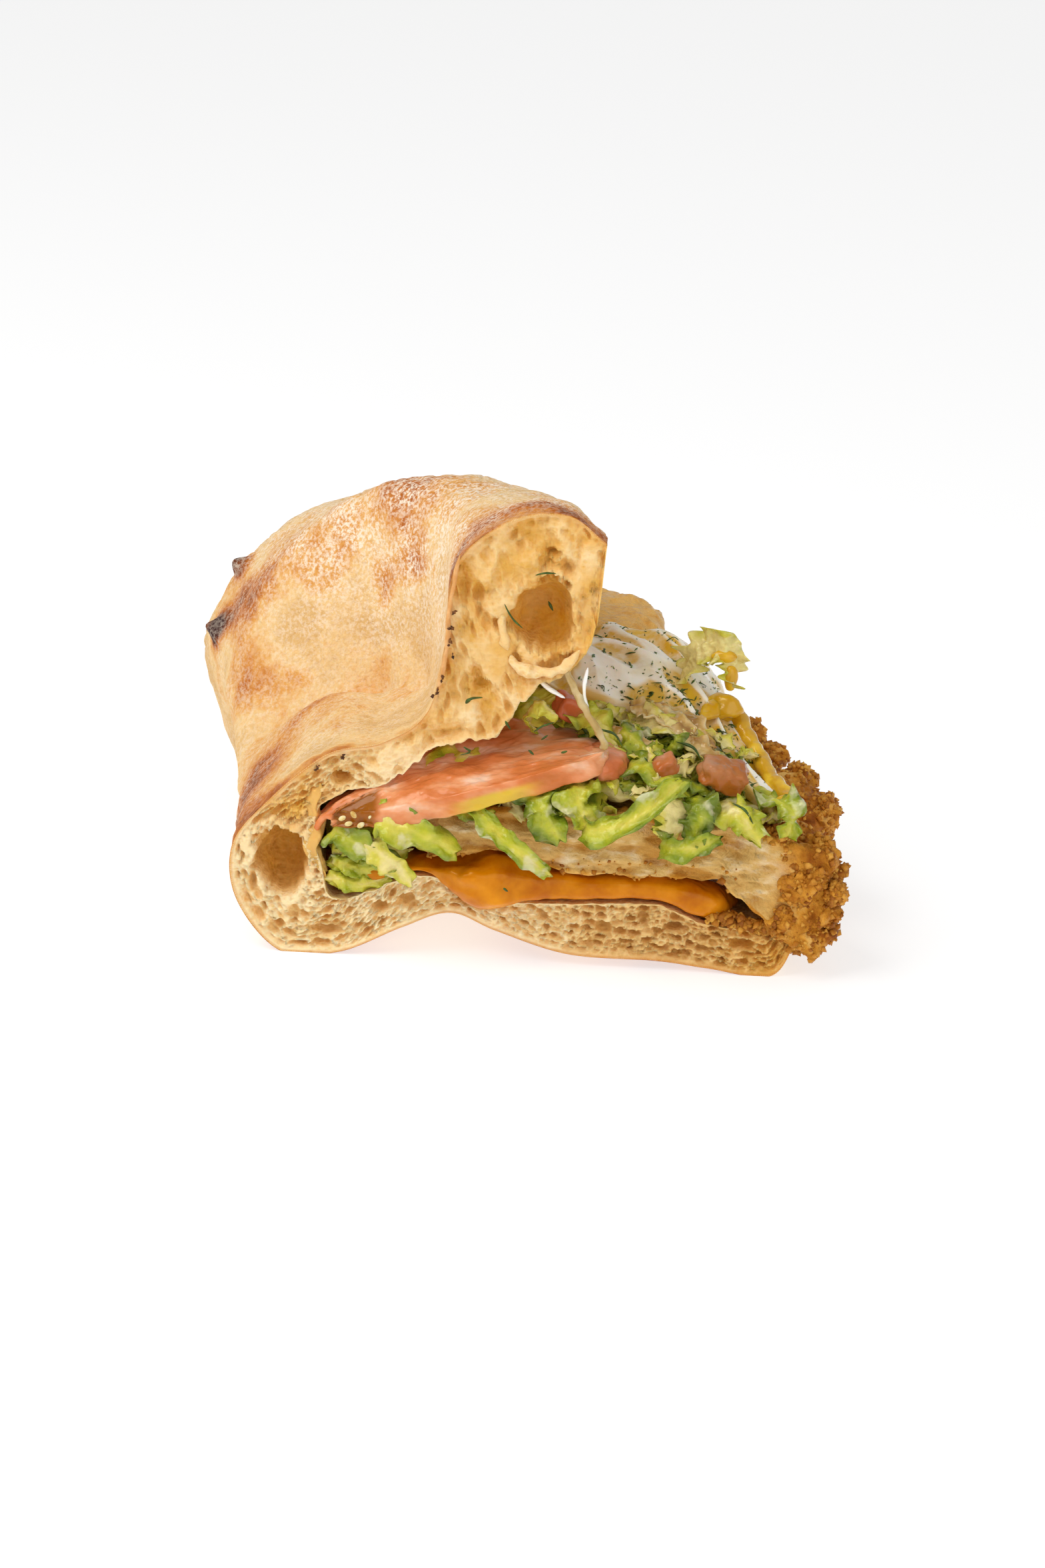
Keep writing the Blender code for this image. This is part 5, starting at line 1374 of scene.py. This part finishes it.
class SANDWICH_OT_stage(bpy.types.Operator):
    """Sets the white surface, the soft light and the view of the photograph"""

    bl_idname = "sandwich.stage"
    bl_label = "White stage"

    def execute(self, context):
        stage = context.scene.sandwich_stage
        bpy.ops.mesh.primitive_plane_add(size=12.0, location=(0, 0, 0))
        floor = context.object
        floor.name = "white_surface"
        made, _, shader = material("white_paper", 0.9, 0.1)
        shader.inputs["Base Color"].default_value = (*linear("#BDBDBD"), 1)
        shader.inputs["Emission Color"].default_value = (1, 1, 1, 1)
        shader.inputs["Emission Strength"].default_value = stage.floor_glow
        floor.data.materials.append(made)

        world = bpy.data.worlds.new("white_room")
        context.scene.world = world
        world.use_nodes = True
        shine = world.node_tree.nodes["Background"]
        shine.inputs["Color"].default_value = (1, 1, 1, 1)
        shine.inputs["Strength"].default_value = stage.sky

        for name, place, size, power in (("key_light", (-0.55, -0.35, 0.8), 0.7, stage.key),
                                         ("fill_light", (0.55, -0.9, 0.35), 0.9, stage.fill)):
            data = bpy.data.lights.new(name, "AREA")
            data.shape = "SQUARE"
            data.size = size
            data.energy = power
            light = bpy.data.objects.new(name, data)
            context.scene.collection.objects.link(light)
            light.location = place
            aim = Vector(LIGHT_TARGET) - Vector(place)
            light.rotation_euler = aim.to_track_quat("-Z", "Y").to_euler()

        back = np.array((0.0, -math.cos(stage.elevation), math.sin(stage.elevation)))
        right = np.array((1.0, 0.0, 0.0))
        up = np.cross(back, right)
        c, s = math.cos(stage.roll), math.sin(stage.roll)
        right, up = right * c + up * s, up * c - right * s
        target = np.array((0, 0, stage.target_height)) - CENTRE * MM
        turned = Matrix((right, up, back)).transposed().to_4x4()
        turned.translation = Vector(target + back * stage.distance)
        data = bpy.data.cameras.new("photo_view")
        data.lens = stage.lens
        data.sensor_width = 36.0
        data.clip_start = 0.05
        camera = bpy.data.objects.new("photo_view", data)
        context.scene.collection.objects.link(camera)
        camera.matrix_world = turned
        context.scene.camera = camera
        context.scene.view_settings.view_transform = "Standard"
        return {"FINISHED"}


class SANDWICH_PT_panel(bpy.types.Panel):
    """Lists the sandwich's sizes and its steps"""

    bl_idname = "SANDWICH_PT_panel"
    bl_label = "Cutlet sandwich"
    bl_space_type = "VIEW_3D"
    bl_region_type = "UI"
    bl_category = "Sandwich"

    def draw(self, context):
        scene = context.scene
        for group in (scene.sandwich_sizes, scene.sandwich_colours, scene.sandwich_stage):
            box = self.layout.box()
            for name in group.__annotations__:
                box.prop(group, name)
        for operator in OPERATORS:
            self.layout.operator(operator.bl_idname)


OPERATORS = (SANDWICH_OT_roll, SANDWICH_OT_cutlet, SANDWICH_OT_cheese, SANDWICH_OT_tomato,
             SANDWICH_OT_lettuce, SANDWICH_OT_sauces, SANDWICH_OT_stage)
CLASSES = (SandwichSizes, SandwichColours, SandwichStage, *OPERATORS, SANDWICH_PT_panel)


def register():
    """Registers the panel, its settings and its steps."""
    for cls in CLASSES:
        bpy.utils.register_class(cls)
    bpy.types.Scene.sandwich_sizes = bpy.props.PointerProperty(type=SandwichSizes)
    bpy.types.Scene.sandwich_colours = bpy.props.PointerProperty(type=SandwichColours)
    bpy.types.Scene.sandwich_stage = bpy.props.PointerProperty(type=SandwichStage)


def unregister():
    """Takes them off again."""
    del bpy.types.Scene.sandwich_stage
    del bpy.types.Scene.sandwich_colours
    del bpy.types.Scene.sandwich_sizes
    for cls in reversed(CLASSES):
        bpy.utils.unregister_class(cls)


def main():
    """Runs every step in order."""
    register()
    bpy.ops.sandwich.roll()
    bpy.ops.sandwich.cutlet()
    bpy.ops.sandwich.cheese()
    bpy.ops.sandwich.tomato()
    bpy.ops.sandwich.lettuce()
    bpy.ops.sandwich.sauces()
    bpy.ops.sandwich.stage()


if __name__ == "__main__":
    main()
